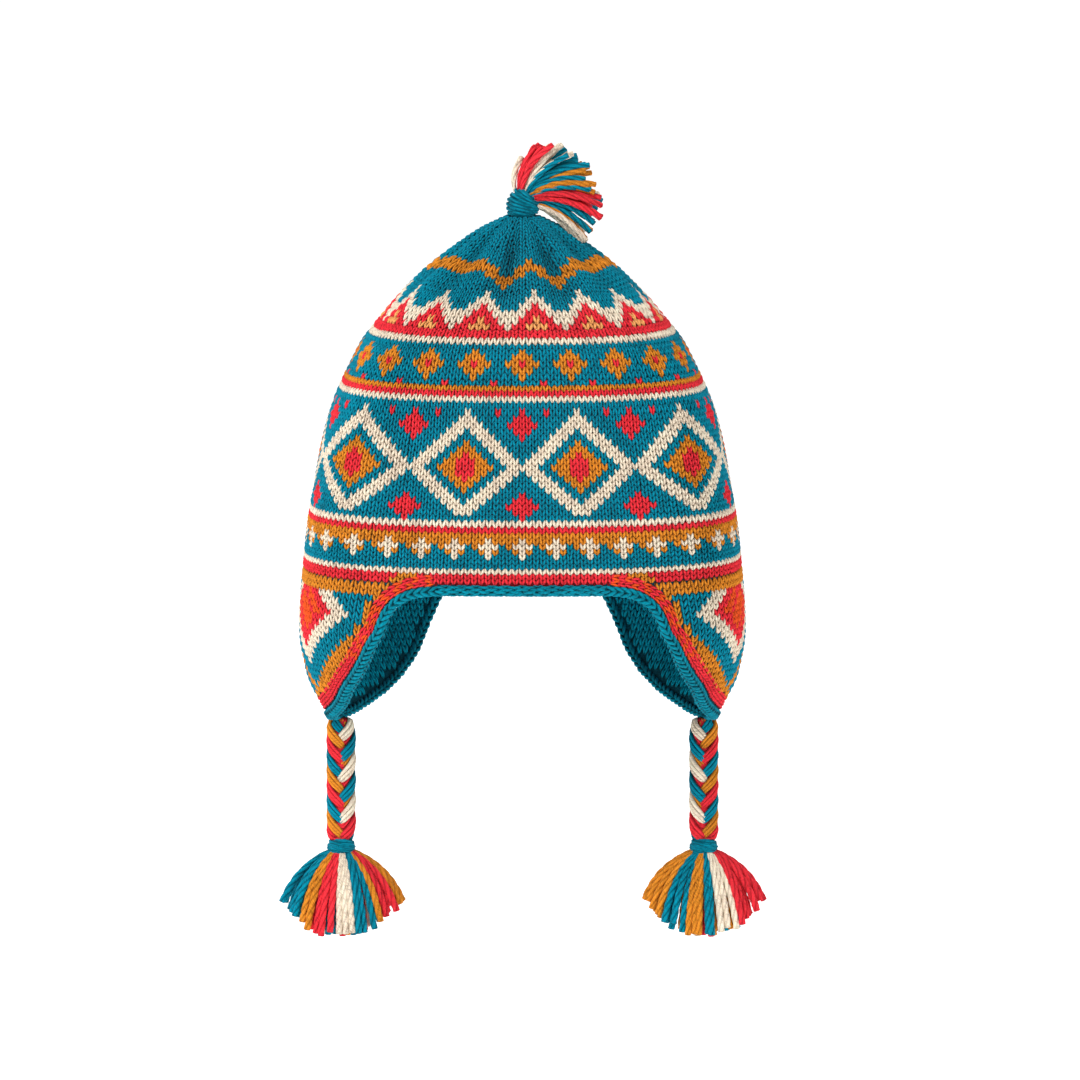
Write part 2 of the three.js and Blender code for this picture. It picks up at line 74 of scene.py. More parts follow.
# Flap sections: share of the drop, width and depth shares, exponent
FLAP_FORM = np.array([
    (0, 0.987, 0.99, 2.5), (0.159, 0.996, 0.994, 2.45), (0.295, 1, 0.99, 2.38),
    (0.432, 0.996, 0.965, 2.2), (0.567, 0.9785, 0.925, 2), (0.704, 0.954, 0.865, 1.85),
    (0.839, 0.905, 0.79, 1.72), (0.908, 0.88, 0.745, 1.66), (1, 0.845, 0.69, 1.6),
])
# Hem of one side: share of the half girth from the front centre, share of the drop
HEM = np.array([
    (0.07, 0), (0.13, 0.006), (0.165, 0.035), (0.19, 0.105), (0.203, 0.19), (0.212, 0.28),
    (0.231, 0.38), (0.253, 0.49), (0.283, 0.6), (0.325, 0.72), (0.38, 0.85), (0.455, 0.95),
    (0.545, 1), (0.62, 0.97), (0.68, 0.917), (0.736, 0.847), (0.785, 0.75), (0.822, 0.63),
    (0.848, 0.49), (0.868, 0.36), (0.884, 0.24), (0.897, 0.14), (0.914, 0.05), (0.94, 0.005),
    (0.97, 0),
])
# Valley folds under the peak: angle, depth share, spread
PLEATS = np.array([
    (-44, 0.75, 10), (-11, 1, 9), (22, 1, 9), (54, 0.8, 10), (87, 0.9, 10), (120, 0.75, 11),
    (152, 0.9, 10), (185, 0.85, 10), (218, 0.95, 10), (251, 0.75, 11), (283, 0.9, 10),
])
PLEAT_OPENING = np.array([(0.68, 0), (0.78, 0.35), (0.86, 0.9), (0.92, 1), (0.97, 0.4), (1, 0)])
# How much painted shade darkens the stitches in a fold
FOLD_SHADE = 0.55

# Form of the knit


def read_table(rows, column, at):
    """Value of one column at a place between two rows, smooth through the rows."""
    keys = rows[:, 0]
    values = rows[:, column]
    i = int(np.clip(np.searchsorted(keys, at, side="left") - 1, 0, len(keys) - 2))
    span = keys[i + 1] - keys[i]
    t = min(max((at - keys[i]) / span, 0), 1)
    rise = values[i + 1] - values[i]

    def slope(k):
        if k == 0 or k == len(keys) - 1:
            return rise / span
        return (values[k + 1] - values[k - 1]) / (keys[k + 1] - keys[k - 1])

    m0 = slope(i) * span
    m1 = slope(i + 1) * span
    return values[i] + t * (m0 + t * (3 * rise - 2 * m0 - m1 + t * (m0 + m1 - 2 * rise)))


def lengths_along(path):
    """Distance from the start of a path at each of its points."""
    steps = np.linalg.norm(np.diff(path, axis=0), axis=1)
    return np.concatenate([[0], np.cumsum(steps)])


ARC_SAMPLES = 90
_arcs = {}


def arc_at(z):
    """Quarter of the section at a level: x, y and arc length from the front centre."""
    key = round(float(z), 2)
    if key not in _arcs:
        rows, at = (CROWN_FORM, key / CROWN_HEIGHT) if key >= 0 else (FLAP_FORM, -key / FLAP_DROP)
        a = NECK_RADIUS + (HALF_WIDTH - NECK_RADIUS) * read_table(rows, 1, at)
        b = NECK_RADIUS + (HALF_DEPTH - NECK_RADIUS) * read_table(rows, 2, at)
        n = read_table(rows, 3, at)
        angle = np.linspace(0, math.pi / 2, ARC_SAMPLES + 1)
        x = a * np.sin(angle) ** (2 / n)
        y = b * np.maximum(0, np.cos(angle)) ** (2 / n)
        _arcs[key] = (x, y, lengths_along(np.stack([x, y], 1)))
    return _arcs[key]


HALF_GIRTH = 2 * arc_at(0)[2][-1]


def section(u, z):
    """Points of the smooth section at one level. u is 0 at the front, 1 and -1 at the back."""
    x, y, length = arc_at(z)
    u = np.atleast_1d(np.asarray(u, float))
    u = (u + 1) % 2 - 1
    wrapped = np.abs(u)
    front = wrapped <= 0.5
    along = 2 * np.where(front, wrapped, 1 - wrapped) * length[-1]
    px = np.interp(along, length, x) * np.sign(u + 1e-12)
    py = np.interp(along, length, y) * np.where(front, -1, 1)
    return np.stack([px, py, np.full_like(px, z)], 1)


def unit(v):
    """Vectors of length one in the same directions."""
    return v / np.maximum(np.linalg.norm(v, axis=-1, keepdims=True), 1e-12)


NORMAL_RISE = 0.6
NORMAL_REACH = 0.004


def normal_at(u, z):
    """Outward normals of the smooth section."""
    dz = NORMAL_RISE if z + NORMAL_RISE <= CROWN_HEIGHT else -NORMAL_RISE
    across = section(np.asarray(u) + NORMAL_REACH, z) - section(np.asarray(u) - NORMAL_REACH, z)
    up = (section(u, z + dz) - section(u, z)) * np.sign(dz)
    return unit(np.cross(across, up))


def pleat_at(points, z):
    """Depth of the folds under the peak at points of one level."""
    opening = max(0.0, read_table(PLEAT_OPENING, 1, z / CROWN_HEIGHT))
    if opening <= 0:
        return np.zeros(len(points))
    angle = np.degrees(np.arctan2(points[:, 0], -points[:, 1]))[:, None]
    away = (angle - PLEATS[:, 0] + 180) % 360 - 180
    return PLEAT_DEPTH * opening * np.max(PLEATS[:, 1] * np.exp(-((away / PLEATS[:, 2]) ** 2)), 1)


def skin(u, z, sunk=0.0):
    """Points of the knit's skin with its pleats, sunk inward, and the outward normals."""
    points = section(u, z)
    normals = normal_at(u, z)
    return points - normals * (pleat_at(points, z) + sunk)[:, None], normals


def knit_point(run, z, side, sunk):
    """Point of the knit from a place of the unrolled girth, with a level normal."""
    u = side * run / HALF_GIRTH
    normal = normal_at(u, z)[0]
    normal[2] = 0
    return section(u, z)[0] - unit(normal) * sunk, unit(normal)


# Hem


def catmull_rom(points, steps):
    """Centripetal curve through the points, with steps samples between two of them."""
    ends = [2 * points[0] - points[1], *points, 2 * points[-1] - points[-2]]
    out = []
    for p0, p1, p2, p3 in zip(ends, ends[1:], ends[2:], ends[3:]):
        spans = ((p0, p1), (p1, p2), (p2, p3))
        d0, d1, d2 = (max(np.linalg.norm(b - a), 1e-6) ** 0.5 for a, b in spans)
        m1 = ((p1 - p0) / d0 - (p2 - p0) / (d0 + d1) + (p2 - p1) / d1) * d1
        m2 = ((p2 - p1) / d1 - (p3 - p1) / (d1 + d2) + (p3 - p2) / d2) * d1
        for t in np.arange(steps) / steps:
            square = (3 * (p2 - p1) - 2 * m1 - m2) * t * t
            cube = (m1 + m2 - 2 * (p2 - p1)) * t * t * t
            out.append(p1 + m1 * t + square + cube)
    out.append(points[-1])
    return np.array(out)


HEM_CURVE = catmull_rom(HEM * (HALF_GIRTH, -FLAP_DROP), 12)


def shrink_at(z):
    """Girth at a level as a share of the girth at the rim."""
    return 2 * arc_at(z)[2][-1] / HALF_GIRTH


def resample(curve, count):
    """The curve with its points equally spaced."""
    lengths = lengths_along(curve)
    at = np.linspace(0, lengths[-1], count)
    return np.stack([np.interp(at, lengths, curve[:, k]) for k in range(curve.shape[1])], 1)


def hem_stations(count):
    """Points of the unrolled hem and the direction up into the fabric at each."""
    points = resample(HEM_CURVE, count)
    tangents = unit(np.gradient(points, axis=0))
    shrink = np.array([shrink_at(p[1]) for p in points])
    size = np.hypot(tangents[:, 0] * shrink, tangents[:, 1])
    inward = np.stack([-tangents[:, 1] / (shrink * size), tangents[:, 0] * shrink / size], 1)
    return points, inward


def hem_distance(run, z):
    """Distance in the fabric from a place to the hem, negative below it."""
    shrink = shrink_at(z)
    gaps = np.hypot((HEM_CURVE[:, 0] - run) * shrink, HEM_CURVE[:, 1] - z)
    k = int(np.argmin(gaps))
    below = np.interp(run, HEM_CURVE[:, 0], HEM_CURVE[:, 1])
    return float(gaps[k]) if z > below else -float(gaps[k])


# Meshes

YARNS = ["teal", "red", "cream", "ochre", "orange", "apricot"]
TEAL, RED, CREAM, OCHRE, ORANGE, APRICOT = range(6)


class Mesh:
    """Triangles of several yarns, gathered for one piece."""

    def __init__(self):
        self.verts, self.faces, self.yarns, self.plies, self.crest_shades = [], [], [], [], []
        self.count = 0

    def add(self, verts, faces, yarn, ply, crest_shade=1.0):
        verts = np.asarray(verts, float).reshape(-1, 3)
        faces = np.asarray(faces, int).reshape(-1, 3)
        self.verts.append(verts)
        self.faces.append(faces + self.count)
        self.yarns.append(np.broadcast_to(yarn, (len(faces),)))
        self.plies.append(np.asarray(ply, float).reshape(-1, 3))
        self.crest_shades.append(np.broadcast_to(crest_shade, (len(verts),)))
        self.count += len(verts)

    def piece(self, name, materials, nodes):
        """Make the object. Only the materials that its faces use go on it."""
        verts = np.concatenate(self.verts) * MM
        faces = np.concatenate(self.faces)
        yarns = np.concatenate(self.yarns)
        used = sorted(set(yarns.tolist()))
        lookup = np.zeros(max(used) + 1, int)
        lookup[used] = range(len(used))
        mesh = bpy.data.meshes.new(name)
        mesh.vertices.add(len(verts))
        mesh.vertices.foreach_set("co", verts.astype(np.float32).ravel())
        mesh.loops.add(faces.size)
        mesh.loops.foreach_set("vertex_index", faces.astype(np.int32).ravel())
        mesh.polygons.add(len(faces))
        mesh.polygons.foreach_set("loop_start", np.arange(0, faces.size, 3, dtype=np.int32))
        mesh.update(calc_edges=True)
        mesh.polygons.foreach_set("material_index", lookup[yarns].astype(np.int32))
        mesh.polygons.foreach_set("use_smooth", np.ones(len(faces), bool))
        ply = mesh.attributes.new("ply", "FLOAT_VECTOR", "POINT")
        ply.data.foreach_set("vector", np.concatenate(self.plies).astype(np.float32).ravel())
        # Painted shade of each point: 1 on a yarn's crest, less where it turns away into the gaps
        crest_shade = mesh.attributes.new("crest_shade", "FLOAT", "POINT")
        crest_shade.data.foreach_set("value", np.concatenate(self.crest_shades).astype(np.float32))
        for k in used:
            mesh.materials.append(materials[k])
        mesh.validate()
        obj = bpy.data.objects.new(name, mesh)
        bpy.context.scene.collection.objects.link(obj)
        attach(obj, "root")
        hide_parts(*nodes)
        print(name, len(faces), "triangles")


def grid_faces(rows, columns, wrap):
    """Triangles of a grid of points that may close into a tube."""
    r, c = np.meshgrid(np.arange(rows - 1), np.arange(columns if wrap else columns - 1), indexing="ij")
    d = (c + 1) % columns
    a, b = r * columns, (r + 1) * columns
    return np.stack([a + c, a + d, b + d, a + c, b + d, b + c], -1).reshape(-1, 3)


def ring_faces(rings, sides):
    """Triangles between rings of points, and fans to a tip at each end."""
    c = np.arange(sides)
    d = (c + 1) % sides
    first, last = rings * sides + 0 * c, rings * sides + 1 + 0 * c
    end = (rings - 1) * sides
    fans = np.stack([first, d, c, last, end + c, end + d], 1).reshape(-1, 3)
    return np.concatenate([grid_faces(rings, sides, True), fans])


def frames(path):
    """Tangents of a path, with normals that don't twist round it, and binormals."""
    tangent = unit(np.gradient(path, axis=0))
    hint = np.array([0, 0, 1.0]) if abs(tangent[0, 2]) < 0.9 else np.array([0, 1.0, 0])
    normal = np.zeros_like(path)
    last = unit(np.cross(tangent[0], hint))
    for k in range(len(path)):
        last = unit(last - np.dot(last, tangent[k]) * tangent[k])
        normal[k] = last
    return tangent, normal, np.cross(tangent, normal)


# Painted shade of a round yarn: how fast it darkens away from its crest, and its shade at the two tips
CREST_POWER = 1.3
CREST_OF_TIP = 0.4


def tube(mesh, path, radius, sides, yarn, tip=0.5, seed=0.0, out=None, low=0.0):
    """Round yarn along a path, closed by a low tip at each end. It is painted darker as shade away from its
    side that faces out, down to low at the back.
    """
    path = np.asarray(path, float)
    radius = np.broadcast_to(radius, (len(path),))
    tangent, normal, binormal = frames(path)
    angle = (2 * math.pi * np.arange(sides) / sides)[None, :, None]
    ring = np.cos(angle) * normal[:, None] + np.sin(angle) * binormal[:, None]
    verts = (path[:, None] + ring * radius[:, None, None]).reshape(-1, 3)
    ends = [path[0] - tangent[0] * radius[0] * tip, path[-1] + tangent[-1] * radius[-1] * tip]
    length = lengths_along(path)
    ply = np.full((len(verts) + 2, 3), float(seed))
    ply[:, 0] = [*np.repeat(length, sides), 0, length[-1]]
    ply[:, 1] = [*np.tile(np.arange(sides) / sides, len(path)), 0, 0]
    crest_shade = 1.0
    if out is not None:
        crest_shade = np.clip(np.sum(ring * unit(out)[:, None], axis=2).ravel(), 0, 1) ** CREST_POWER
        crest_shade = [*(low + (1 - low) * crest_shade), CREST_OF_TIP, CREST_OF_TIP]
    mesh.add(np.concatenate([verts, ends]), ring_faces(len(path), sides), yarn, ply, crest_shade)


# Distance of the plies from the yarn's centre and their radius, as shares of its radius
PLY_SHARES = {2: (0.42, 0.58), 3: (0.39, 0.61)}
PLY_SIDES = 6
# Painted shade of a ply on its side towards the yarn's centre
PLY_LOW_CREST = 0.2


def twisted(mesh, path, radius, plies, twist, yarn, phase=0.0, tip=0.4):
    """Yarn of several plies twisted round a path. twist is the length of one turn."""
    path = np.asarray(path, float)
    radius = np.broadcast_to(radius, (len(path),))
    _, normal, binormal = frames(path)
    length = lengths_along(path)
    centre_share, ply_share = PLY_SHARES[plies]
    for k in range(plies):
        turn = phase + 2 * math.pi * (k / plies + length / twist)
        offset = np.cos(turn)[:, None] * normal + np.sin(turn)[:, None] * binormal
        centre = path + offset * (radius * centre_share)[:, None]
        thickness = radius * ply_share
        tube(mesh, centre, thickness, PLY_SIDES, yarn, tip, RNG.random(), offset, PLY_LOW_CREST)


def add_core(mesh, rings, lengths=None, flip=False):
    """Closed body through rings of points, inside yarn that is wound or chained round it."""
    rings = np.array(rings)
    count, sides = rings.shape[:2]
    faces = ring_faces(count, sides)
    ply = np.zeros((count * sides + 2, 3))
    if lengths is not None:
        ply[:-2, 0] = np.repeat(lengths, sides)
        ply[:-2, 1] = np.tile(np.arange(sides) / sides, count)
    verts = np.concatenate([rings.reshape(-1, 3), rings[[0, -1]].mean(axis=1)])
    mesh.add(verts, faces[:, ::-1] if flip else faces, TEAL, ply)


# Stitches

# One leg of a stitch, from its root to its head: across in column pitches, up in row
# pitches, outward in mm, half width in column pitches, half depth in mm
LEG = np.array([
    (0.03, -0.1, -0.6, 0, 0), (0.12, 0.24, 0.02, 0.17, 0.48), (0.235, 0.74, 0.38, 0.265, 0.66),
    (0.345, 1.25, 0.16, 0.2, 0.52), (0.45, 1.85, -0.6, 0, 0),
])
LEG_SLANT = math.radians(17)
# Lower edge of a leg under its middle, as a share of its half depth
LEG_UNDERCUT = 0.12
# Length of yarn to a row, for its streaks
LEG_PLY = 3.2
# Painted shade of each point of a leg: 1 on its crest, darker at its sides and tips
LEG_CREST = [0.15, 0.85, 0.15, 0.2, 1, 0.2, 0.15, 0.8, 0.15, 0, 0]
# Spread of a leg's width, of its place across and up in pitches, and outward in mm
LEG_SPREAD = (0.05, 0.02, 0.025, 0.06)


def leg_template():
    """Vertices of one leg: a ridged ring at each inner point and a tip at each end."""
    verts = []
    for across, up, out, width, depth in LEG[1:-1]:
        wx, wy = width * math.cos(LEG_SLANT), -width * math.sin(LEG_SLANT)
        low = out - LEG_UNDERCUT * depth
        verts += [(across + wx, up + wy, low), (across, up, out + depth), (across - wx, up - wy, low)]
    verts += [tuple(LEG[0][:3]), tuple(LEG[-1][:3])]
    return np.array(verts), ring_faces(3, 3)


def stitch_rows(mesh, root, across, rise, out, yarns, sink, inward=False, shade=None):
    """Stitches at root points: across is one column, rise one row and out the normal."""
    verts, faces = leg_template()
    count = len(root)
    spread = RNG.normal(0, 1, (count, 4)) * LEG_SPREAD
    for side in (-1, 1):
        t = verts[None] * (side, 1, 1)
        points = (
            root[:, None]
            + across[:, None] * (t[:, :, :1] * (1 + spread[:, None, :1]) + spread[:, None, 1:2])
            + rise[:, None] * (t[:, :, 1:2] + spread[:, None, 2:3])
            + out[:, None] * (t[:, :, 2:] - sink + spread[:, None, 3:])
        )
        index = faces[None] + (np.arange(count) * len(verts))[:, None, None]
        if (side < 0) != inward:
            index = index[:, :, ::-1]
        ply = np.zeros((count, len(verts), 3))
        ply[:, :, 0] = verts[:, 1] * LEG_PLY
        ply[:, :, 1] = [*([0, 0.25, 0.5] * 3), 0.25, 0.25]
        ply[:, :, 2] = RNG.random(count)[:, None]
        # Painted shade of each point of a stitch, times the painted shade of the fold it lies in
        crest_shade = np.outer(np.ones(count) if shade is None else shade, LEG_CREST).ravel()
        mesh.add(points, index.reshape(-1, 3), np.repeat(yarns, len(faces)), ply, crest_shade)


def row_frames(z0, z1, low_u, high_u, left_u, right_u, sunk=0.0):
    """Roots, columns, rises and normals of the stitches of a row, from their places."""
    low, normal = skin(low_u, z0, sunk)
    high, _ = skin(high_u, z1, sunk)
    left, _ = skin(left_u, z0, sunk)
    right, _ = skin(right_u, z0, sunk)
    return low, (right - left) * 2, high - low, normal


# Level of the lower tip of a stitch by row
ROW_LEVELS = np.array([
    (0, 2.95), (1, 5.15), (3, 9.5), (6, 16.14), (9, 22.74), (12, 30.3), (13, 33.12), (22, 55.33),
    (31, 79.24), (33, 85.54), (35, 90.61), (37, 94.93), (39, 100.55), (41, 106.27), (43, 110.71),
    (44, 113.34), (45, 115.64), (46, 117.1), (47, 119.4), (48, 122.4), (49, 125.3), (50, 128),
    (51, 130.7), (54, 135.9), (57, 141.7), (58, 144.5), (60, 148.9), (64, 156.8), (68, 164.4),
])
# Number of stitches round the crown, from a row on
COLUMNS = [
    (1, 180), (36, 147), (44, 120), (53, 99), (58, 77), (62, 55), (65, 44), (68, 33), (70, 22),
]
LAST_ROW = 71
PEAK_ROW = 60

# Share of the half girth by share of the columns: closer in front, wider where it turns
COLUMN_PLACES = np.array([
    (0, 0), (0.1, 0.0912), (0.2, 0.1835), (0.25, 0.237), (0.3, 0.299), (0.34, 0.35),
    (0.4, 0.418), (0.5, 0.515), (0.7, 0.71), (1, 1), (1.1, 1.0967),
])
STITCH_SINK = 1.15


def peak_levels():
    """Levels of the rows under the peak, equally spaced up the slope."""
    z = np.linspace(row_level(PEAK_ROW), CROWN_HEIGHT, 200)
    radius = np.array([arc_at(k)[0][-1] for k in z])
    slope = lengths_along(np.stack([radius, z], 1))
    at = np.linspace(0, slope[-1], LAST_ROW + 2 - PEAK_ROW)
    return np.interp(at, slope, z)


def row_level(row):
    """Level of a row's lower tips."""
    if row > PEAK_ROW:
        return float(np.interp(row - PEAK_ROW, range(len(PEAK_LEVELS)), PEAK_LEVELS))
    return float(np.interp(row, ROW_LEVELS[:, 0], ROW_LEVELS[:, 1]))


PEAK_LEVELS = peak_levels()


EVEN_ABOVE = 112
EVEN_SPAN = 40


def column_share(share, z):
    """Place of a column round the girth. The peak is worked evenly."""
    warped = np.interp(np.abs(share), COLUMN_PLACES[:, 0], COLUMN_PLACES[:, 1]) * np.sign(share)
    return share + (warped - share) * np.clip((EVEN_ABOVE - z) / EVEN_SPAN, 0, 1)


def columns_of(row):
    """Number of stitches in a row of the crown."""
    return [n for first, n in COLUMNS if first <= row][-1]


# Charts of the bands. Each gives the letter of a stitch by its column and row.

STAR_START = 6
STAR_CHART = ["TTWTT", "TOWOT", "OWWWT", "OOWOO"]


def star(c, row):
    """Cream and ochre stars, side by side."""
    return STAR_CHART[row - STAR_START][(c + 2) % 5]


LATTICE_REPEAT = 18
LATTICE_MIDDLE = 22


def lattice(c, row):
    """Ochre diamonds in a cream lattice, with small red ones above and below its crossings."""
    dx = abs(c % LATTICE_REPEAT - LATTICE_REPEAT // 2)
    dy = abs(row - LATTICE_MIDDLE)
    between = LATTICE_REPEAT // 2 - dx
    if between + abs(dy - 7) <= 2 or (row == 31 and between == 4):
        return "R"
    spread = dx + dy
    if spread <= 2 and dx <= 1:
        return "R"
    if spread <= 4:
        return "O"
    return "W" if spread in (7, 8, 9) and row > 13 else "T"


FLOWER_REPEAT = 7
FLOWER_MIDDLE = 39


def flower(c, row):
    """Ochre flowers with a red centre, over single red stitches."""
    if row == FLOWER_MIDDLE - 3:
        return "R" if c % FLOWER_REPEAT == 3 else "T"
    spread = abs((c + 3) % FLOWER_REPEAT - 3) + abs(row - FLOWER_MIDDLE)
    if spread == 0:
        return "R"
    return "O" if spread <= 2 else "T"


ZIGZAG_REPEAT = 8
ZIGZAG_START = 46


def zigzag(c, row):
    """Cream zigzag: teal over it, red under it, and apricot low under its peaks."""
    away = (c + 2) % ZIGZAG_REPEAT
    k = min(away, ZIGZAG_REPEAT - away)
    level = row - ZIGZAG_START
    if level - k in (0, 1) or (level - k == 2 and k in (0, 4)):
        return "W"
    if level - k > 1:
        return "T"
    return "A" if (level == 0 and k >= 3) or (level == 1 and k == 4) else "R"


WAVE_REPEAT = 33
WAVE_COLUMNS = 3 * WAVE_REPEAT
WAVE_START = 54


def wave(c, row):
    """Ochre line with two dips to a repeat. It keeps its width where the rows narrow."""
    place = (round(c * WAVE_COLUMNS / columns_of(row)) + 12) % WAVE_REPEAT - 12
    k = round(0.8 * min(abs(place + 3), abs(place - 6), 4))
    level = row - WAVE_START
    return "O" if level - k in (0, 1) or (level == 2 and k == 0) else "T"


PLAIN_ROWS = {
    3: "W", 4: "T", 5: "T", 10: "O", 11: "R", 12: "W", 32: "T", 33: "W", 34: "R", 35: "O", 42: "T",
    43: "W",
}
# Last row of each chart
BANDS = [(9, star), (31, lattice), (41, flower), (52, zigzag), (LAST_ROW, wave)]
LETTERS = {"T": TEAL, "R": RED, "W": CREAM, "O": OCHRE, "B": ORANGE, "A": APRICOT}

# Border of the flaps, by distance from the hem. Its ochre line is nearer the hem below the level
# of the fork. The reaches are shares of the half girth.
BORDER_START = 9.3
BORDER_OCHRE = 12.4
BORDER_OCHRE_LOW = 11.2
BORDER_FORK = -36
BORDER_REACH = (0.14, 0.9)
OCHRE_REACH = (0.16, 0.9)
EDGING_LAP = 0.8


def hem_margin(run):
    """Distance from the hem at which the rows of the knit start."""
    bordered = BORDER_REACH[0] < run / HALF_GIRTH < BORDER_REACH[1]
    return BORDER_START if bordered else EDGING_WIDTH - EDGING_LAP


def clear_of_hem(runs, z):
    """Whether each place of a row is clear of the edging and the border."""
    return np.array([hem_distance(run, z) > hem_margin(run) for run in runs])


def border(run, z):
    """Letter of the line beside the border, or None elsewhere."""
    if not OCHRE_REACH[0] < run / HALF_GIRTH < OCHRE_REACH[1]:
        return None
    reach = BORDER_OCHRE if z > BORDER_FORK else BORDER_OCHRE_LOW
    return "O" if hem_distance(run, z) < reach else None


def crown_letter(c, row, run, z):
    """Letter of a stitch of the crown."""
    if row <= 2:
        return border(run, z) or "R"
    if row in PLAIN_ROWS:
        return PLAIN_ROWS[row]
    return next(chart for last, chart in BANDS if row <= last)(c, row)


FLAP_PITCH = 2.78
FLAP_TOP = 4.1
FLAP_ROW_COUNT = 24
FLAP_CENTRES = (0.378, 0.69)
FLAP_LEAN = 0.0007
DIAMOND_MIDDLE = 5


def flap_letter(c, row, run, z):
    """Letter of a stitch of a flap: a red and orange diamond, outlined in cream, teal and ochre."""
    edge = border(run, z)
    if edge or row <= 1:
        return edge or "O"
    dx, dy = abs(c), abs(row - DIAMOND_MIDDLE)
    spread = dx + dy
    if spread >= 10:
        return "O" if row > DIAMOND_MIDDLE and spread in (14, 15) else "T"
    if spread >= 7:
        return "W"
    orange = abs(dx - 1) + dy <= 3 and (c + row + 2) % 5 != 0
    return "B" if orange else "R"


def crown_row(mesh, row):
    """One row of stitches round the crown."""
    n = columns_of(row)
    c = np.arange(-(n // 2), n - n // 2)
    share, step = 2 * c / n, 0.5 / n
    z0, z1 = row_level(row), row_level(row + 1)
    place = column_share(share, z0)
    stitches = row_frames(
        z0, min(z1, CROWN_HEIGHT - 0.2), place, column_share(share, z1),
        column_share(share - step, z0), column_share(share + step, z0),
    )
    runs = np.abs(place) * HALF_GIRTH
    middle = (z0 + z1) / 2
    letters = [crown_letter(int(k), row, run, middle) for k, run in zip(c, runs)]
    yarns = np.array([LETTERS[x] for x in letters])
    # Painted shade of the stitches in the folds under the peak
    shade = 1 - FOLD_SHADE * (pleat_at(section(place, z0), z0) / PLEAT_DEPTH) ** 1.5
    keep = clear_of_hem(runs, middle) if row <= 2 else np.ones(n, bool)
    stitch_rows(mesh, *(v[keep] for v in stitches), yarns[keep], STITCH_SINK, shade=shade[keep])


def flap_rows(mesh, side):
    """The rows of stitches of one flap, from the rim down."""
    n = COLUMNS[0][1]
    step = 0.5 / n
    front, rear = (round(share * n / 2) for share in FLAP_CENTRES)
    for row in range(FLAP_ROW_COUNT):
        z = FLAP_TOP - FLAP_PITCH * (row + 1)
        middle = z + FLAP_PITCH / 2
        c = np.arange(8, n // 2 - 2)
        places = column_share(2 * c / n, z) - FLAP_LEAN * min(z, 0)
        keep = clear_of_hem(places * HALF_GIRTH, middle)
        if not keep.any():
            continue
        c, places = c[keep], places[keep]
        half = (column_share(2 * c / n + step, z) - column_share(2 * c / n - step, z)) / 2
        u = side * places
        letters = [
            flap_letter(int(min(k - front, rear - k)), row, place * HALF_GIRTH, middle)
            for k, place in zip(c, places)
        ]
        yarns = np.array([LETTERS[x] for x in letters])
        stitch_rows(mesh, *row_frames(z, z + FLAP_PITCH, u, u, u - half, u + half), yarns, STITCH_SINK)


# Distances of the border's chains from the hem, and their stitches' width and pitch
BORDER_CHAINS = (6.4, 8.9)
BORDER_STITCH = (2.9, 2.9)
BORDER_OVERLAP = 0.012
# The border is speckled with orange above this level and before this share of the half girth
SPECK_LEVEL = -30
SPECK_SHARE = 0.3


def border_rows(mesh, side):
    """Two chains of stitches that follow the edging of a flap."""
    hem, inward = hem_stations(400)
    share = hem[:, 0] / HALF_GIRTH
    reach = (share > BORDER_REACH[0] - BORDER_OVERLAP) & (share < BORDER_REACH[1] + BORDER_OVERLAP)
    hem, inward = hem[reach], inward[reach]
    width, pitch = BORDER_STITCH

    def spot(places):
        return np.array([skin(side * run / HALF_GIRTH, z)[0][0] for run, z in places])

    for chain, distance in enumerate(BORDER_CHAINS):
        rail = np.concatenate([hem + inward * distance, inward], 1)
        count = int(lengths_along(spot(rail[:, :2]))[-1] / pitch)
        points = resample(rail, count)
        places, half = points[:, :2], points[:, 2:] * width / 2
        roots = spot(places)
        across = side * (spot(places + half) - spot(places - half))
        out = np.array([normal_at(side * run / HALF_GIRTH, z)[0] for run, z in places])
        # Orange specks in an uneven order that differs between the chains
        speck = (np.arange(count) * (5 + 2 * chain)) % 11 < 5
        speck &= (places[:, 1] > SPECK_LEVEL) & (places[:, 0] < SPECK_SHARE * HALF_GIRTH)
        yarns = np.where(speck, ORANGE, RED)
        stitch_rows(mesh, roots, across, np.gradient(roots, axis=0), out, yarns, STITCH_SINK)


# Materials


def feed(tree, value, socket):
    """Link a socket from another one, or set its value."""
    if isinstance(value, bpy.types.NodeSocket):
        tree.links.new(value, socket)
    else:
        socket.default_value = value


def node(tree, kind, inputs, **settings):
    """New node with its settings and inputs. An input is a value or a socket to link from."""
    made = tree.nodes.new(kind)
    for key, value in settings.items():
        setattr(made, key, value)
    for key, value in inputs.items():
        feed(tree, value, made.inputs[key])
    return made


def calculate(tree, operation, *values):
    """Result of a sum on values and sockets."""
    return node(tree, "ShaderNodeMath", dict(enumerate(values)), operation=operation).outputs[0]


def noise(tree, place, scale, detail, roughness=0.5):
    """Noise at a place, from 0 to 1."""
    inputs = {"Vector": place, "Scale": scale, "Detail": detail, "Roughness": roughness}
    return node(tree, "ShaderNodeTexNoise", inputs).outputs[0]


# Yarn: its darkest and lightest streaks, as shares of the dye
STREAK_DARK = 0.4
STREAK_LIGHT = 1.25


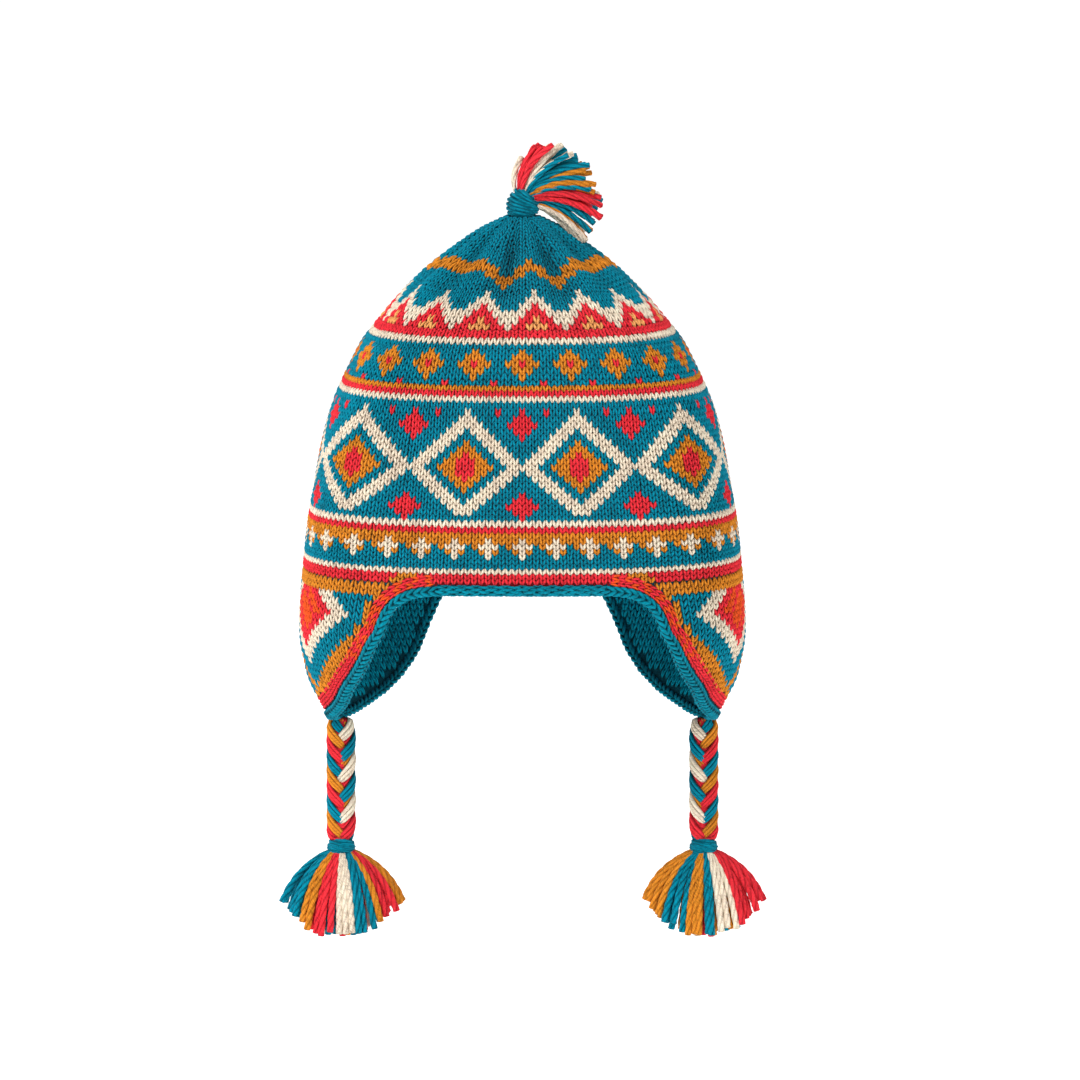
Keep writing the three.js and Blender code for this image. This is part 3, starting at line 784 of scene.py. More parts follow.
def wool(name, colour, shade=1.0, gap_shade=0.3):
    """Spun yarn: fibres run round the ply, the dye varies from stitch to stitch, and painted shade darkens
    it towards the gaps.
    """
    material = bpy.data.materials.new(name)
    material.use_nodes = True
    tree = material.node_tree
    tree.nodes.clear()
    ply = node(tree, "ShaderNodeAttribute", {}, attribute_name="ply").outputs["Vector"]
    along, around, seed = node(tree, "ShaderNodeSeparateXYZ", {0: ply}).outputs
    place = node(tree, "ShaderNodeTexCoord", {}).outputs["Object"]

    # Fibre streaks, slanted across the ply
    slanted = calculate(tree, "MULTIPLY_ADD", along, 0.22, around)
    grain = node(tree, "ShaderNodeCombineXYZ", {
        "X": calculate(tree, "MULTIPLY", along, 0.35),
        "Y": calculate(tree, "MULTIPLY", slanted, 5.0),
        "Z": calculate(tree, "MULTIPLY", seed, 37.0),
    })
    fibres = noise(tree, grain.outputs[0], 1.6, 3.0, 0.65)

    # Slow change of the dye over the object, and its change from yarn to yarn
    slow = calculate(tree, "MULTIPLY_ADD", noise(tree, place, 60.0, 2.0), 0.25, -0.24)
    own = calculate(tree, "MULTIPLY_ADD", seed, 0.13, slow)
    ramp = node(tree, "ShaderNodeValToRGB", {0: calculate(tree, "MULTIPLY_ADD", fibres, 1.1, own)})
    base = np.array(colour) * shade
    stops = ramp.color_ramp.elements
    stops[0].position = 0.25
    stops[0].color = (*(base * STREAK_DARK), 1)
    stops[1].position = 0.72
    stops[1].color = (*np.minimum(base * STREAK_LIGHT, 1), 1)
    stops.new(0.5).color = (*base, 1)

    # Painted shade: darker where the yarn turns away into the gaps
    crest_shade = node(tree, "ShaderNodeAttribute", {}, attribute_name="crest_shade").outputs["Fac"]
    depth = node(tree, "ShaderNodeMapRange", {
        "Value": crest_shade, "From Min": 0.1, "From Max": 0.72, "To Min": gap_shade, "To Max": 1.0,
    })
    shaded = {0: ramp.outputs[0], "Scale": depth.outputs[0]}
    shaded = node(tree, "ShaderNodeVectorMath", shaded, operation="SCALE")

    # Relief of the fibres and of finer fuzz
    fuzz = noise(tree, place, 1400.0, 2.0)
    bump = node(tree, "ShaderNodeBump", {
        "Height": calculate(tree, "MULTIPLY_ADD", fuzz, 0.35, fibres), "Strength": 0.8, "Distance": 0.0006,
    })
    shader = node(tree, "ShaderNodeBsdfPrincipled", {
        "Base Color": shaded.outputs[0], "Normal": bump.outputs[0], "Roughness": 0.95,
        "Sheen Weight": 0.03, "Sheen Roughness": 0.5, "Specular IOR Level": 0.06,
    })
    node(tree, "ShaderNodeOutputMaterial", {"Surface": shader.outputs[0]})
    return material


def knitted_cloth(name, colour, columns, row_height):
    """Yarn with the stitches as relief and as painted shade between them, for the inside of the crown under
    its peak.
    """
    material = wool(name, colour, 1, 0.35)
    tree = material.node_tree
    place = node(tree, "ShaderNodeTexCoord", {}).outputs["Object"]
    x, y, z = node(tree, "ShaderNodeSeparateXYZ", {0: place}).outputs
    column = calculate(tree, "MULTIPLY", calculate(tree, "ARCTAN2", x, y), columns / (2 * math.pi))
    away = calculate(tree, "PINGPONG", column, 0.5)
    row = calculate(tree, "MULTIPLY", z, 1 / (row_height * MM))
    slanted = calculate(tree, "MULTIPLY_ADD", away, -1.8, row)
    ripple = calculate(tree, "SINE", calculate(tree, "MULTIPLY", slanted, 2 * math.pi))
    leg = calculate(tree, "SINE", calculate(tree, "MULTIPLY", away, 2 * math.pi))
    relief = calculate(tree, "MULTIPLY", calculate(tree, "MULTIPLY_ADD", ripple, 0.5, 0.5), leg)
    # Painted shade: the low parts of the relief darken the dye
    depth = next(made for made in tree.nodes if made.type == "MAP_RANGE")
    tree.links.new(relief, depth.inputs["Value"])
    height = next(made for made in tree.nodes if made.type == "BUMP").inputs["Height"]
    fibres = height.links[0].from_socket
    tree.links.new(calculate(tree, "MULTIPLY_ADD", relief, 2.5, fibres), height)
    return material


def srgb(code):
    """Linear colour of a six-digit code."""
    values = [int(code[i : i + 2], 16) / 255 for i in (0, 2, 4)]
    return np.array([v / 12.92 if v <= 0.04045 else ((v + 0.055) / 1.055) ** 2.4 for v in values])


DYES = [srgb("0089a3"), srgb("f63440"), srgb("f8e4cc"), srgb("e28c2a"), srgb("fb5a24"), srgb("fcac66")]
# Painted shade of each yarn where it turns into the gaps, as shares of its dye
GAP_SHADES = [0.2, 0.42, 0.66, 0.5, 0.45, 0.55]
yarn_mats = [wool("yarn_" + name, dye, 1, gap_shade) for name, dye, gap_shade in zip(YARNS, DYES, GAP_SHADES)]
# Painted shade: the core's yarns at 0.3 of their dye, as it shows only deep between the stitches
shaded_core_mats = [wool("core_" + name, dye, 0.3) for name, dye in zip(YARNS, DYES)]
edge_mats = [wool("edging_yarn", srgb("00869c"), 1, 0.2)]
binding_mats = [wool("binding_yarn", srgb("00849c"), 1, 0.35)]
lining_mats = [wool("lining_yarn", srgb("00a2bc"), 1, 0.35)]

# The inside of the wall: height of a row, columns to the girth, and levels of the rows that are
# real stitches, from the first to the last
LINING_ROW = 3.1
LINING_COLUMNS = 170
LINING_START = 6.0
LINING_TOP = 46
inside_mat = knitted_cloth("inside_knit", srgb("00b0c8"), LINING_COLUMNS, LINING_ROW)

# Knit pieces

for label, first, last in (("low", 1, 18), ("middle", 19, 38), ("high", 39, LAST_ROW)):
    part = Mesh()
    for row in range(first, last + 1):
        crown_row(part, row)
    part.piece(f"crown_stitches_{label}", yarn_mats, ["crown"])

for label, side in SIDES:
    part = Mesh()
    flap_rows(part, side)
    border_rows(part, side)
    part.piece(f"flap_stitches_{label}", yarn_mats, [f"ear_flap_{label}"])

# The fabric behind the stitches: a shell one wall thick, in the yarns of its rows, painted dark as shade
CORE_SINK = 1.35
CORE_INNER = 3.0
CORE_COLUMNS = 180
# Level of the core over the lower tips of a row, and below those of the first row
CORE_RAISE = 1.6
CORE_RIM = -1.4
# Steps up a flap's core, its lowest edge in shares of the edging, and its top under the crown
FLAP_CORE_STEPS = 14
FLAP_CORE_LOW = 0.6
FLAP_CORE_TOP = 6.2


def make_crown_core():
    part = Mesh()
    rows = range(1, LAST_ROW + 1)
    share = (np.arange(CORE_COLUMNS) - 0.5) * 2 / CORE_COLUMNS - 1
    levels = [row_level(row) + (CORE_RAISE if row > 1 else CORE_RIM) for row in rows]
    levels = np.minimum(levels, CROWN_HEIGHT - 0.4)
    outer = [skin(column_share(share, z), z, CORE_SINK)[0] for z in levels]
    inner = [skin(column_share(share, z), min(z, CROWN_HEIGHT - 3), CORE_INNER)[0] for z in levels]
    verts = np.concatenate([*inner[::-1], *outer])
    yarns = [len(shaded_core_mats)] * (CORE_COLUMNS * len(rows))
    for row in rows[:-1]:
        z = row_level(row)
        columns = np.round((share + 1 / CORE_COLUMNS) * columns_of(row) / 2)
        runs = np.abs(column_share(share, z)) * HALF_GIRTH
        yarns += [LETTERS[crown_letter(int(c), row, run, z + 2)] for c, run in zip(columns, runs)]
    around = np.tile(np.arange(CORE_COLUMNS) * 0.5, 2 * len(rows))
    ply = np.stack([verts[:, 2], around, np.zeros(len(verts))], 1)
    part.add(verts, grid_faces(2 * len(rows), CORE_COLUMNS, True), np.repeat(yarns, 2), ply)
    part.piece("crown_core", [*shaded_core_mats, inside_mat], ["crown"])


def make_flap_core(label, side):
    part = Mesh()
    points, inward = hem_stations(90)
    lows = points + inward * (EDGING_WIDTH * FLAP_CORE_LOW)
    lows = lows[lows[:, 1] < 5.4]
    count, steps = len(lows), FLAP_CORE_STEPS
    outer, inner = [], []
    for low, high in zip(lows, np.linspace(lows[0, 0], lows[-1, 0], count)):
        for rise in np.linspace(0, 1, steps):
            run = low[0] + (high - low[0]) * rise
            z = low[1] + (FLAP_CORE_TOP - low[1]) * rise
            outer.append(knit_point(run, z, side, CORE_SINK)[0])
            inner.append(knit_point(run, z, side, CORE_INNER)[0])
    total = count * steps
    index = np.arange(total).reshape(count, steps)
    rim = []
    for loop in (index[:, 0], index[-1], index[::-1, -1], index[0, ::-1]):
        for a, b in zip(loop, loop[1:]):
            rim += [(a, b, b + total), (a, b + total, a + total)]
    faces = grid_faces(count, steps, False)
    faces = np.concatenate([faces[:, ::-1], faces + total, np.array(rim)[:, ::-1]])
    verts = np.array(outer + inner)
    ply = np.stack([verts[:, 2], verts[:, 1] * 0.3, np.zeros(len(verts))], 1)
    part.add(verts, faces if side > 0 else faces[:, ::-1], TEAL, ply)
    part.piece(f"flap_core_{label}", shaded_core_mats, [f"ear_flap_{label}"])


make_crown_core()
for label, side in SIDES:
    make_flap_core(label, side)

# Lining of the inside

LINING_INSET = 0.75
LINING_SINK = 0.35


def lining_row(mesh, z, shares, side):
    """Stitches on the inside of the wall, seen from the hollow."""
    u = column_share(shares, z) * side
    half = 0.5 / LINING_COLUMNS
    low, across, rise, normal = row_frames(
        z, z + LINING_ROW, u, u, u - half, u + half, KNIT_WALL - LINING_INSET,
    )
    stitch_rows(mesh, low, across, rise, -normal, np.full(len(u), TEAL), LINING_SINK, True)


def make_crown_lining():
    part = Mesh()
    share = 2 * np.arange(LINING_COLUMNS) / LINING_COLUMNS - 1
    for z in np.arange(LINING_START, LINING_TOP, LINING_ROW):
        lining_row(part, z, share, 1)
    part.piece("crown_lining", lining_mats, ["crown"])


def make_flap_lining(label, side):
    part = Mesh()
    share = 2 * np.arange(6, LINING_COLUMNS // 2 - 1) / LINING_COLUMNS
    for z in np.arange(LINING_START - LINING_ROW, -FLAP_DROP + 3, -LINING_ROW):
        runs = column_share(share, z) * HALF_GIRTH
        keep = np.array([hem_distance(run, z + LINING_ROW / 2) > EDGING_WIDTH - 1 for run in runs])
        if keep.any():
            lining_row(part, z, share[keep], side)
    part.piece(f"flap_lining_{label}", lining_mats, [f"ear_flap_{label}"])


make_crown_lining()
for label, side in SIDES:
    make_flap_lining(label, side)

# Edging

CHAIN_PITCH = 3.4
# Start and end of a chain link's four loops in degrees round the band
CHAIN_ANGLES = ((6, 92), (-6, -92), (174, 98), (-174, -98))
# Garter bumps take the place of the chain outside these shares of the half girth
CHAIN_REACH = (0.12, 0.93)
GARTER_ANGLES = (78, 48, 18, -12, -42, -72, -102, -132, -162, 168, 138, 108)
EDGING_CORE_SINK = 1.5
# Columns of the rail after its centre, across and outward directions
SHARE, LEVEL = 9, 10


def edging_rail():
    """Centre, across and outward directions all round the edging, front centre first."""
    hem, inward = hem_stations(500)
    runs = np.linspace(0, hem[0, 0], 30)[:-1], np.linspace(hem[-1, 0], HALF_GIRTH, 16)[1:]
    front, back = (np.stack([run, 0 * run], 1) for run in runs)
    places = np.concatenate([front, hem, back])
    directions = np.concatenate([0 * front + (0, 1), inward, 0 * back + (0, 1)])
    rail = {1: [], -1: []}
    for side, rows in rail.items():
        for place, direction in zip(places, directions):
            middle = place + direction * EDGING_WIDTH / 2
            low, _ = knit_point(*place, side, KNIT_WALL / 2)
            high, _ = knit_point(*(place + direction * EDGING_WIDTH), side, KNIT_WALL / 2)
            _, out = knit_point(*middle, side, 0)
            rows.append((*((low + high) / 2), *unit(high - low), *out, middle[0] / HALF_GIRTH, middle[1]))
    return {side: np.array(rows) for side, rows in rail.items()}


RAIL = edging_rail()


class Band:
    """One side's half of the edging as a path with a cross section."""

    def __init__(self, side):
        self.rows = RAIL[side]
        self.length = lengths_along(self.rows[:, :3])
        self.tip = self.length[int(np.argmin(self.rows[:, LEVEL]))]

    def at(self, along):
        along = np.clip(along, 0, self.length[-1])
        return np.array([np.interp(along, self.length, column) for column in self.rows.T])

    def point(self, along, angle, lift):
        """Point of the band's surface: angle 0 faces out, 90 degrees is the upper edge."""
        row = self.at(along)
        across, out = unit(row[3:6]), unit(row[6:9])
        half_across = EDGING_WIDTH / 2 + lift
        half_out = EDGING_THICKNESS / 2 + lift
        return row[:3] + across * half_across * math.sin(angle) + out * half_out * math.cos(angle)

    def loop(self, mesh, places, angles, lifts, radius, sides):
        """Yarn through points of the surface."""
        path = [self.point(*spot) for spot in zip(places, angles, lifts)]
        out = np.array([point - self.at(place)[:3] for point, place in zip(path, places)])
        tube(mesh, path, radius, sides, TEAL, seed=RNG.random(), out=out)


def chain_link(mesh, band, along, pitch):
    """Four slanted loops: two meet on the outer face and two on the inner face."""
    forward = 1 if along < band.tip else -1
    t = np.linspace(0, 1, 6)
    swell = np.sin(math.pi * np.clip(t, 0.08, 0.92)) ** 0.6
    for start, end in CHAIN_ANGLES:
        # Each loop runs on under the next one
        places = along + forward * pitch * (0.7 - 1.5 * t + RNG.normal(0, 0.05))
        angles = np.radians(start + (end - start) * t ** 1.25)
        lifts = -1.45 + 0.55 * np.sin(math.pi * np.clip(t, 0.05, 0.95))
        # Flatter at the tip of a flap
        lifts -= 0.8 * np.exp(-(((places - band.tip) / 5) ** 2))
        radius = (0.3 + 0.75 * swell) * (1 + RNG.normal(0, 0.06))
        band.loop(mesh, places, angles, lifts, radius, 6)


def garter_link(mesh, band, along, pitch, k):
    """Short bumps that lie along the rim, in rows round the band."""
    t = np.linspace(0, 1, 5)
    lifts = -1.2 + 0.45 * np.sin(math.pi * np.clip(t, 0.05, 0.95))
    radius = 0.3 + 0.55 * np.sin(math.pi * np.clip(t, 0.1, 0.9)) ** 0.7
    for row, angle in enumerate(GARTER_ANGLES):
        shift = 0.5 * ((k + row) % 2) + RNG.normal(0, 0.1)
        tilt = 26 * (1 if row % 2 else -1) + RNG.normal(0, 5)
        places = along + pitch * (shift + 1.15 * t - 0.85)
        band.loop(mesh, places, np.radians(angle + tilt * (t - 0.5)), lifts, radius, 5)


def make_edging():
    part = Mesh()
    turns = 2 * math.pi * np.arange(10) / 10
    for side in (1, -1):
        band = Band(side)
        total = band.length[-1]
        places = np.linspace(0, total, 260)
        rings = [[band.point(place, turn, -EDGING_CORE_SINK) for turn in turns] for place in places]
        add_core(part, rings, places, side > 0)
        links = int(total / CHAIN_PITCH)
        pitch = total / links
        for k in range(links):
            along = (k + 0.5) * pitch
            if CHAIN_REACH[0] <= band.at(along)[SHARE] <= CHAIN_REACH[1]:
                chain_link(part, band, along, pitch)
            else:
                garter_link(part, band, along, pitch, k)
    part.piece("edging_chain", edge_mats, ["edging"])


make_edging()

# Bindings

BINDING_MOUTH = 0.84
# Steps round a wrap, its radius as a share of its pitch, and the turn of its plies in radii
WRAP_STEPS = 26
WRAP_RADIUS = 0.6
WRAP_TWIST = 13


def wrap_binding(name, node_name, base, radius, length, lean, wraps, dome=0.0):
    """Yarn wound round and round between the binding's two ends."""
    part = Mesh()
    yarn_radius = length / wraps * WRAP_RADIUS

    def place(share, reach, turn):
        """Point at a reach from the leaning axis."""
        bends = lean * np.linspace(0, share, 24)[1:] ** 2
        axis = np.array([np.sum(np.sin(bends)), 0, np.sum(np.cos(bends))]) * length * share / len(bends)
        right = np.array([math.cos(lean * share ** 2), 0, -math.sin(lean * share ** 2)])
        return base + axis + reach * (right * math.cos(turn) + np.array([0, math.sin(turn), 0]))

    def barrel(share):
        """Radius of the binding, narrower at its two mouths."""
        mouth = BINDING_MOUTH - (dome if share > 0.5 else 0)
        return radius * (1 - (1 - mouth) * abs(2 * share - 1) ** (3 if share < 0.5 else 2.2))

    def wind(inset, sunk, turns, start, thickness):
        """One pass of yarn, inset from the ends and sunk, both in its radii."""
        margin = inset * yarn_radius / length
        path = []
        for s in np.linspace(0, 1, WRAP_STEPS * wraps):
            turn = 2 * math.pi * turns * s + start
            path.append(place(margin + (1 - 2 * margin) * s, barrel(s) - yarn_radius * sunk, turn))
        twisted(part, path, yarn_radius * thickness, 2, yarn_radius * WRAP_TWIST, TEAL)

    wind(1, 1, wraps, 0.4, 0.94)
    # A second pass under the first hides the gaps between its turns
    wind(1.6, 1.15, wraps - 0.5, 2.4, 0.9)
    turns = 2 * math.pi * np.arange(16) / 16
    add_core(part, [
        [place(s, barrel(s) - yarn_radius * 1.6, turn) for turn in turns] for s in np.linspace(0.04, 0.96, 8)
    ])
    part.piece(name, binding_mats, [node_name])


# The wrapping stands a little proud of its solid
wrap_binding("top_wrapping", "top_binding", np.array([0, 0, CROWN_HEIGHT - 1.2]),
             TOP_BINDING_RADIUS + 0.3, TOP_BINDING_LENGTH + 1.5, TOP_BINDING_LEAN, 6, 0.16)

# Ties

# Wraps of a plait from its top: yarns, level of the first end, drop to the next, half width
# and how far they are sunk. The first ones pass round the outer edge, the others round the inner.
PLAIT_WRAPS = [
    ([OCHRE, TEAL, OCHRE, RED, TEAL, OCHRE, RED, TEAL, OCHRE, RED], 1.2, 6.8, 2.5, 0),
    ([TEAL, RED, CREAM, TEAL, CREAM, TEAL, CREAM, RED, TEAL], 9.3, 9.3, 2.8, 0),
    ([RED, OCHRE, RED, OCHRE, RED, OCHRE, RED, OCHRE], 4.65, 9.3, 2.2, 1.5),
]
LOBE_FALL = 22.0
LOBE_TURN = math.radians(112)
LOBE_YARNS = 3
# Length over which the plait narrows at its ends
PLAIT_TAPER = 2.5


def flap_tip(side):
    """Lowest point of a flap, in the middle of its wall."""
    share, drop = HEM[int(np.argmax(HEM[:, 1]))]
    return knit_point(share * HALF_GIRTH, -drop * FLAP_DROP, side, KNIT_WALL / 2)[0]


def lobe(part, top, edge, end, yarn, half_width, sunk):
    """Yarns laid side by side that pass round one edge of the plait, from back to front."""
    t = np.linspace(0, 1, 21)
    away = np.abs(2 * t - 1)
    angle = LOBE_TURN * (1 - 2 * t)
    # Thin at both ends
    swell = 0.08 + 0.92 * np.sqrt(np.maximum(1 - away ** 2.1, 0))
    radius = half_width / LOBE_YARNS
    # The plait is narrower near its ends and narrower still beyond them
    level = end + LOBE_FALL * (1 - t)
    inside = np.clip(np.minimum(-level, level + TIE_LENGTH) / PLAIT_TAPER, -1, 1)
    squeeze = 1 - 0.16 * (1 - np.clip(inside, 0, 1)) - 0.35 * np.clip(-inside, 0, 1)
    level = np.clip(level, -TIE_LENGTH - 0.6, 0.9)
    # The yarns dive into the plait at both ends
    depth = radius + 0.65 + sunk + 2.6 * away ** 4
    x = edge * (TIE_WIDTH / 2 - depth) * np.cos(angle) * squeeze
    y = (TIE_THICKNESS / 2 - depth) * np.sin(angle) * squeeze
    path = np.stack([x, y, level], 1)
    out = unit(np.stack([x, y * 1.4, np.zeros_like(x)], 1))
    beside = unit(np.cross(out, unit(np.gradient(path, axis=0) + 1e-9)))
    for k in range(LOBE_YARNS):
        place = 2 * k / (LOBE_YARNS - 1) - 1
        shift = place * (half_width - radius)
        rise = 0.75 * math.sqrt(max(1 - place * place * 0.85, 0))
        yarn_path = path + beside * (shift * swell)[:, None] + out * (rise * swell)[:, None]
        yarn_path[:, 2] = np.clip(yarn_path[:, 2], -TIE_LENGTH - 0.8, 1.2)
        tube(part, top + yarn_path, radius * (0.6 + 0.4 * swell), 7, yarn, 0.5, RNG.random(), out)


def make_tie(label, side, top):
    part = Mesh()
    for (yarns, end, drop, half_width, sunk), edge in zip(PLAIT_WRAPS, (side, -side, -side)):
        for k, yarn in enumerate(yarns):
            lobe(part, top, edge, end - drop * k, yarn, half_width, sunk)
    # Core of the plait
    levels = np.linspace(0.5, -TIE_LENGTH, 12)
    tube(part, top + np.stack([0 * levels, 0 * levels, levels], 1), 3.2, 10, RED)
    part.piece(f"tie_plait_{label}", yarn_mats, [f"tie_braid_{label}"])


# Yarns of the hanging tassels as seen from the front, left to right
TASSEL_FRONT = {
    "left": "TTTOORRRWWWTTTORRO",
    "right": "OOOTTTOOOTTWWWRRRR",
}
TASSEL_FLATNESS = 0.7
TASSEL_REACH = 27.5
TASSEL_DROP = 34.2
TASSEL_LIFT = 14.5
# Radius, steps and length of a turn of a tie tassel's yarn, and of the top tassel's
TIE_YARN = (1.7, 18, 18.0)
TOP_YARN = (1.4, 16, 21.0)


def tassel_yarn(mesh, start, bend, end, size, thin, growth, yarn):
    """Three-ply yarn from start to end, drawn towards bend and thin at its root."""
    radius, steps, turn = size
    t = np.linspace(0, 1, steps)[:, None]
    path = start * (1 - t) ** 2 + 2 * bend * t * (1 - t) + end * t ** 2
    grow = thin + (1 - thin) * np.minimum(t[:, 0] * growth, 1)
    twisted(mesh, path, radius * grow, 3, turn + RNG.normal(0, 2), yarn, RNG.random() * 6, 0.25)


def hanging_yarn(mesh, base, beta, root, reach, drop, yarn):
    """Yarn of a tie tassel, from its root out and down to its end."""
    direction = np.array([math.sin(beta), -math.cos(beta) * TASSEL_FLATNESS, 0])
    start = base + direction * root + (0, 0, 2.5)
    end = base + direction * reach - (0, 0, drop)
    bend = base + direction * (root + (reach - root) * 0.7) - (0, 0, drop * 0.2)
    sway = RNG.normal(0, 0.8, 3) * (1, 0.6, 0.3)
    tassel_yarn(mesh, start, bend + sway * 0.5, end + sway, TIE_YARN, 0.55, 1.6, yarn)


def make_tie_tassel(label, base):
    part = Mesh()
    fronts = [LETTERS[x] for x in TASSEL_FRONT[label]]
    mouth = TIE_BINDING_RADIUS * BINDING_MOUTH
    # Yarns of a layer, whether it is in front, and its width, span, root and fall in shares
    layers = [
        (fronts, True, 1.0, 0.97, 0.8, 1.0),
        (fronts, False, 1.0, 0.95, 0.8, 1.0),
        (fronts[1::2] + fronts[::3], True, 0.8, 0.9, 0.55, 1.0),
        (fronts[::2], False, 0.75, 0.85, 0.55, 1.0),
        ([RED, TEAL, OCHRE, RED, TEAL], True, 0.45, 0.8, 0.3, 1.0),
        ([TEAL, CREAM, OCHRE, RED, TEAL, OCHRE], False, 0.45, 0.8, 0.3, 0.98),
        ([OCHRE, RED, TEAL, CREAM], True, 0.18, 0.7, 0.1, 0.98),
    ]
    for yarns, in_front, width, span, root, fall in layers:
        for k, yarn in enumerate(yarns):
            share = (2 * k / (len(yarns) - 1) - 1) * span
            beta = math.asin(share) if in_front else math.pi - math.asin(share)
            reach = TASSEL_REACH * width * (1 + RNG.normal(0, 0.02))
            drop = TASSEL_DROP * fall - TASSEL_LIFT * abs(share * width) ** 2.2 + RNG.normal(0, 0.6)
            hanging_yarn(part, base, beta, mouth * root, reach, drop, yarn)
    part.piece(f"tie_tassel_yarns_{label}", yarn_mats, [f"tie_tassel_{label}"])


for label, side in SIDES:
    top = flap_tip(side) - (0, 0, SEAT_GAP)
    base = top - (0, 0, TIE_LENGTH + SEAT_GAP + TIE_BINDING_LENGTH)
    make_tie(label, side, top)
    wrap_binding(f"tie_wrapping_{label}", f"tie_binding_{label}", base, TIE_BINDING_RADIUS,
                 TIE_BINDING_LENGTH, 0, 4)
    make_tie_tassel(label, base - (0, 0, SEAT_GAP))

# Top tassel

# Yarn, x and z of its root in the tassel's mouth, aims of its start and end in degrees above
# level, its reach, and how far back its end lies as a share of that
TOP_YARNS = [
    (CREAM, -6.6, 2.4, 108, 80, 15, 0.6), (RED, -4.4, 2.4, 96, 65, 22.5, 0.25),
    (RED, -3.0, 2.4, 84, 56, 25, -0.15), (CREAM, -1.2, 2.4, 73, 50, 26.3, 0.1),
    (CREAM, -0.6, 2.0, 66, 41.5, 27, -0.2), (TEAL, -0.1, 1.7, 62, 36, 27.3, 0.25),
    (TEAL, 0.6, 1.4, 55, 24, 29, -0.1), (OCHRE, 1.7, 0.6, 41, 22, 29.4, 0.3),
    (OCHRE, 2.2, 0.1, 35, 12, 29.3, -0.25), (TEAL, 2.8, -0.4, 27, 3, 31, 0.25),
    (CREAM, 3.0, -0.7, 24, 5, 29, 0.45), (RED, 3.5, -0.5, 20, -2.6, 30.5, -0.2),
    (RED, 3.7, -1.0, 9, -13, 30.7, -0.3), (TEAL, 4.2, -2.0, -6, -29.7, 28.4, -0.1),
    (OCHRE, 4.0, -2.4, -12, -31, 28.5, 0.45), (CREAM, 3.9, -3.2, -14, -36, 27.5, -0.3),
    (CREAM, 3.6, -3.5, -18, -38.5, 25.5, 0.1), (CREAM, -2.5, 1.8, 84, 58, 23, 0.5),
    (TEAL, 0.4, 1.0, 58, 36, 26, 0.55), (OCHRE, 2.0, -0.3, 34, 14, 27, 0.6),
    (TEAL, 3.0, -1.8, 4, -16, 26, 0.55), (TEAL, 3.6, -0.9, 14, -10, 29, 0.15),
    (TEAL, 3.2, -0.6, 22, -5, 28, 0.4), (CREAM, 3.8, -3.2, -14, -33, 26.5, 0.35),
    (RED, -3.6, 2.4, 88, 72, 21, 0.4), (OCHRE, 1.4, 0.8, 44, 28, 28, 0.0),
    (TEAL, 0.2, 1.5, 58, 44, 26, 0.3), (TEAL, 3.8, -1.2, 4, -24, 28.5, -0.2),
]
# Behind them a fan of yarns: first and last aim, and their number
FAN = (72, -40, 27)
# Lowest aim of each band of the fan and its yarn
FAN_BANDS = [
    (58, RED), (45, CREAM), (24, TEAL), (8, OCHRE), (2, TEAL), (-11, RED), (-17, TEAL), (-22, RED),
    (-31, TEAL), (-36, OCHRE), (-90, CREAM),
]
TOP_ROOT = np.array([2.0, 0.0, 173.0])


def make_top_tassel():
    part = Mesh()
    yarns = [entry for entry in TOP_YARNS for _ in range(2)]
    for k, aim in enumerate(np.linspace(*FAN)):
        # Along the fan the root and the aims turn, and the topmost yarns are shorter
        share = k / (FAN[2] - 1)
        x, z, start_aim = -2.5 + 6.5 * share, 2.2 - 5.4 * share ** 1.5, 92 - 105 * share
        yarn = next(yarn for low, yarn in FAN_BANDS if aim >= low)
        reach = 28 - 4 * abs(share - 0.5) - 17 * max(0, 0.3 - share)
        yarns.append((yarn, x, z, start_aim, aim, reach, 0.35 - 0.45 * (k % 2)))
    for yarn, x, z, start_aim, aim, reach, back in yarns:
        turn = math.radians(aim + RNG.normal(0, 3.0))
        back += RNG.normal(0, 0.12)
        reach *= 1 + RNG.normal(0, 0.02)
        first = math.radians(start_aim)
        start = TOP_ROOT + np.array([x * 0.78, back * 6.0, z - 1.6])
        end = start + reach * np.array([math.cos(turn), back * 0.75, math.sin(turn)])
        bend = start + reach * 0.5 * np.array([math.cos(first), back * 0.3, math.sin(first)])
        tassel_yarn(part, start, bend, end, TOP_YARN, 0.6, 2, yarn)
    part.piece("top_tassel_yarns", yarn_mats, ["top_tassel"])


make_top_tassel()

# Stage


# The floor in m: its level, its reach to all sides, and the rise and bend of the backdrop. The
# camera stands about 8 m away, so that the stage has to reach beyond it on all sides.
FLOOR_LEVEL = -0.215
FLOOR_REACH = 16.0
BACKDROP_RISE = 9.0
BACKDROP_BEND = 4.0
PAPER_GLOW = 0.48
SKY_STRENGTH = 0.56


def paper():
    """White paper that glows a little, so that the ground is as white as the photo's."""
    material = bpy.data.materials.new("paper")
    material.use_nodes = True
    shader = material.node_tree.nodes["Principled BSDF"]
    shader.inputs["Base Color"].default_value = (0.9, 0.9, 0.9, 1)
    shader.inputs["Roughness"].default_value = 0.95
    shader.inputs["Emission Color"].default_value = (1, 1, 1, 1)
    shader.inputs["Emission Strength"].default_value = PAPER_GLOW
    return material


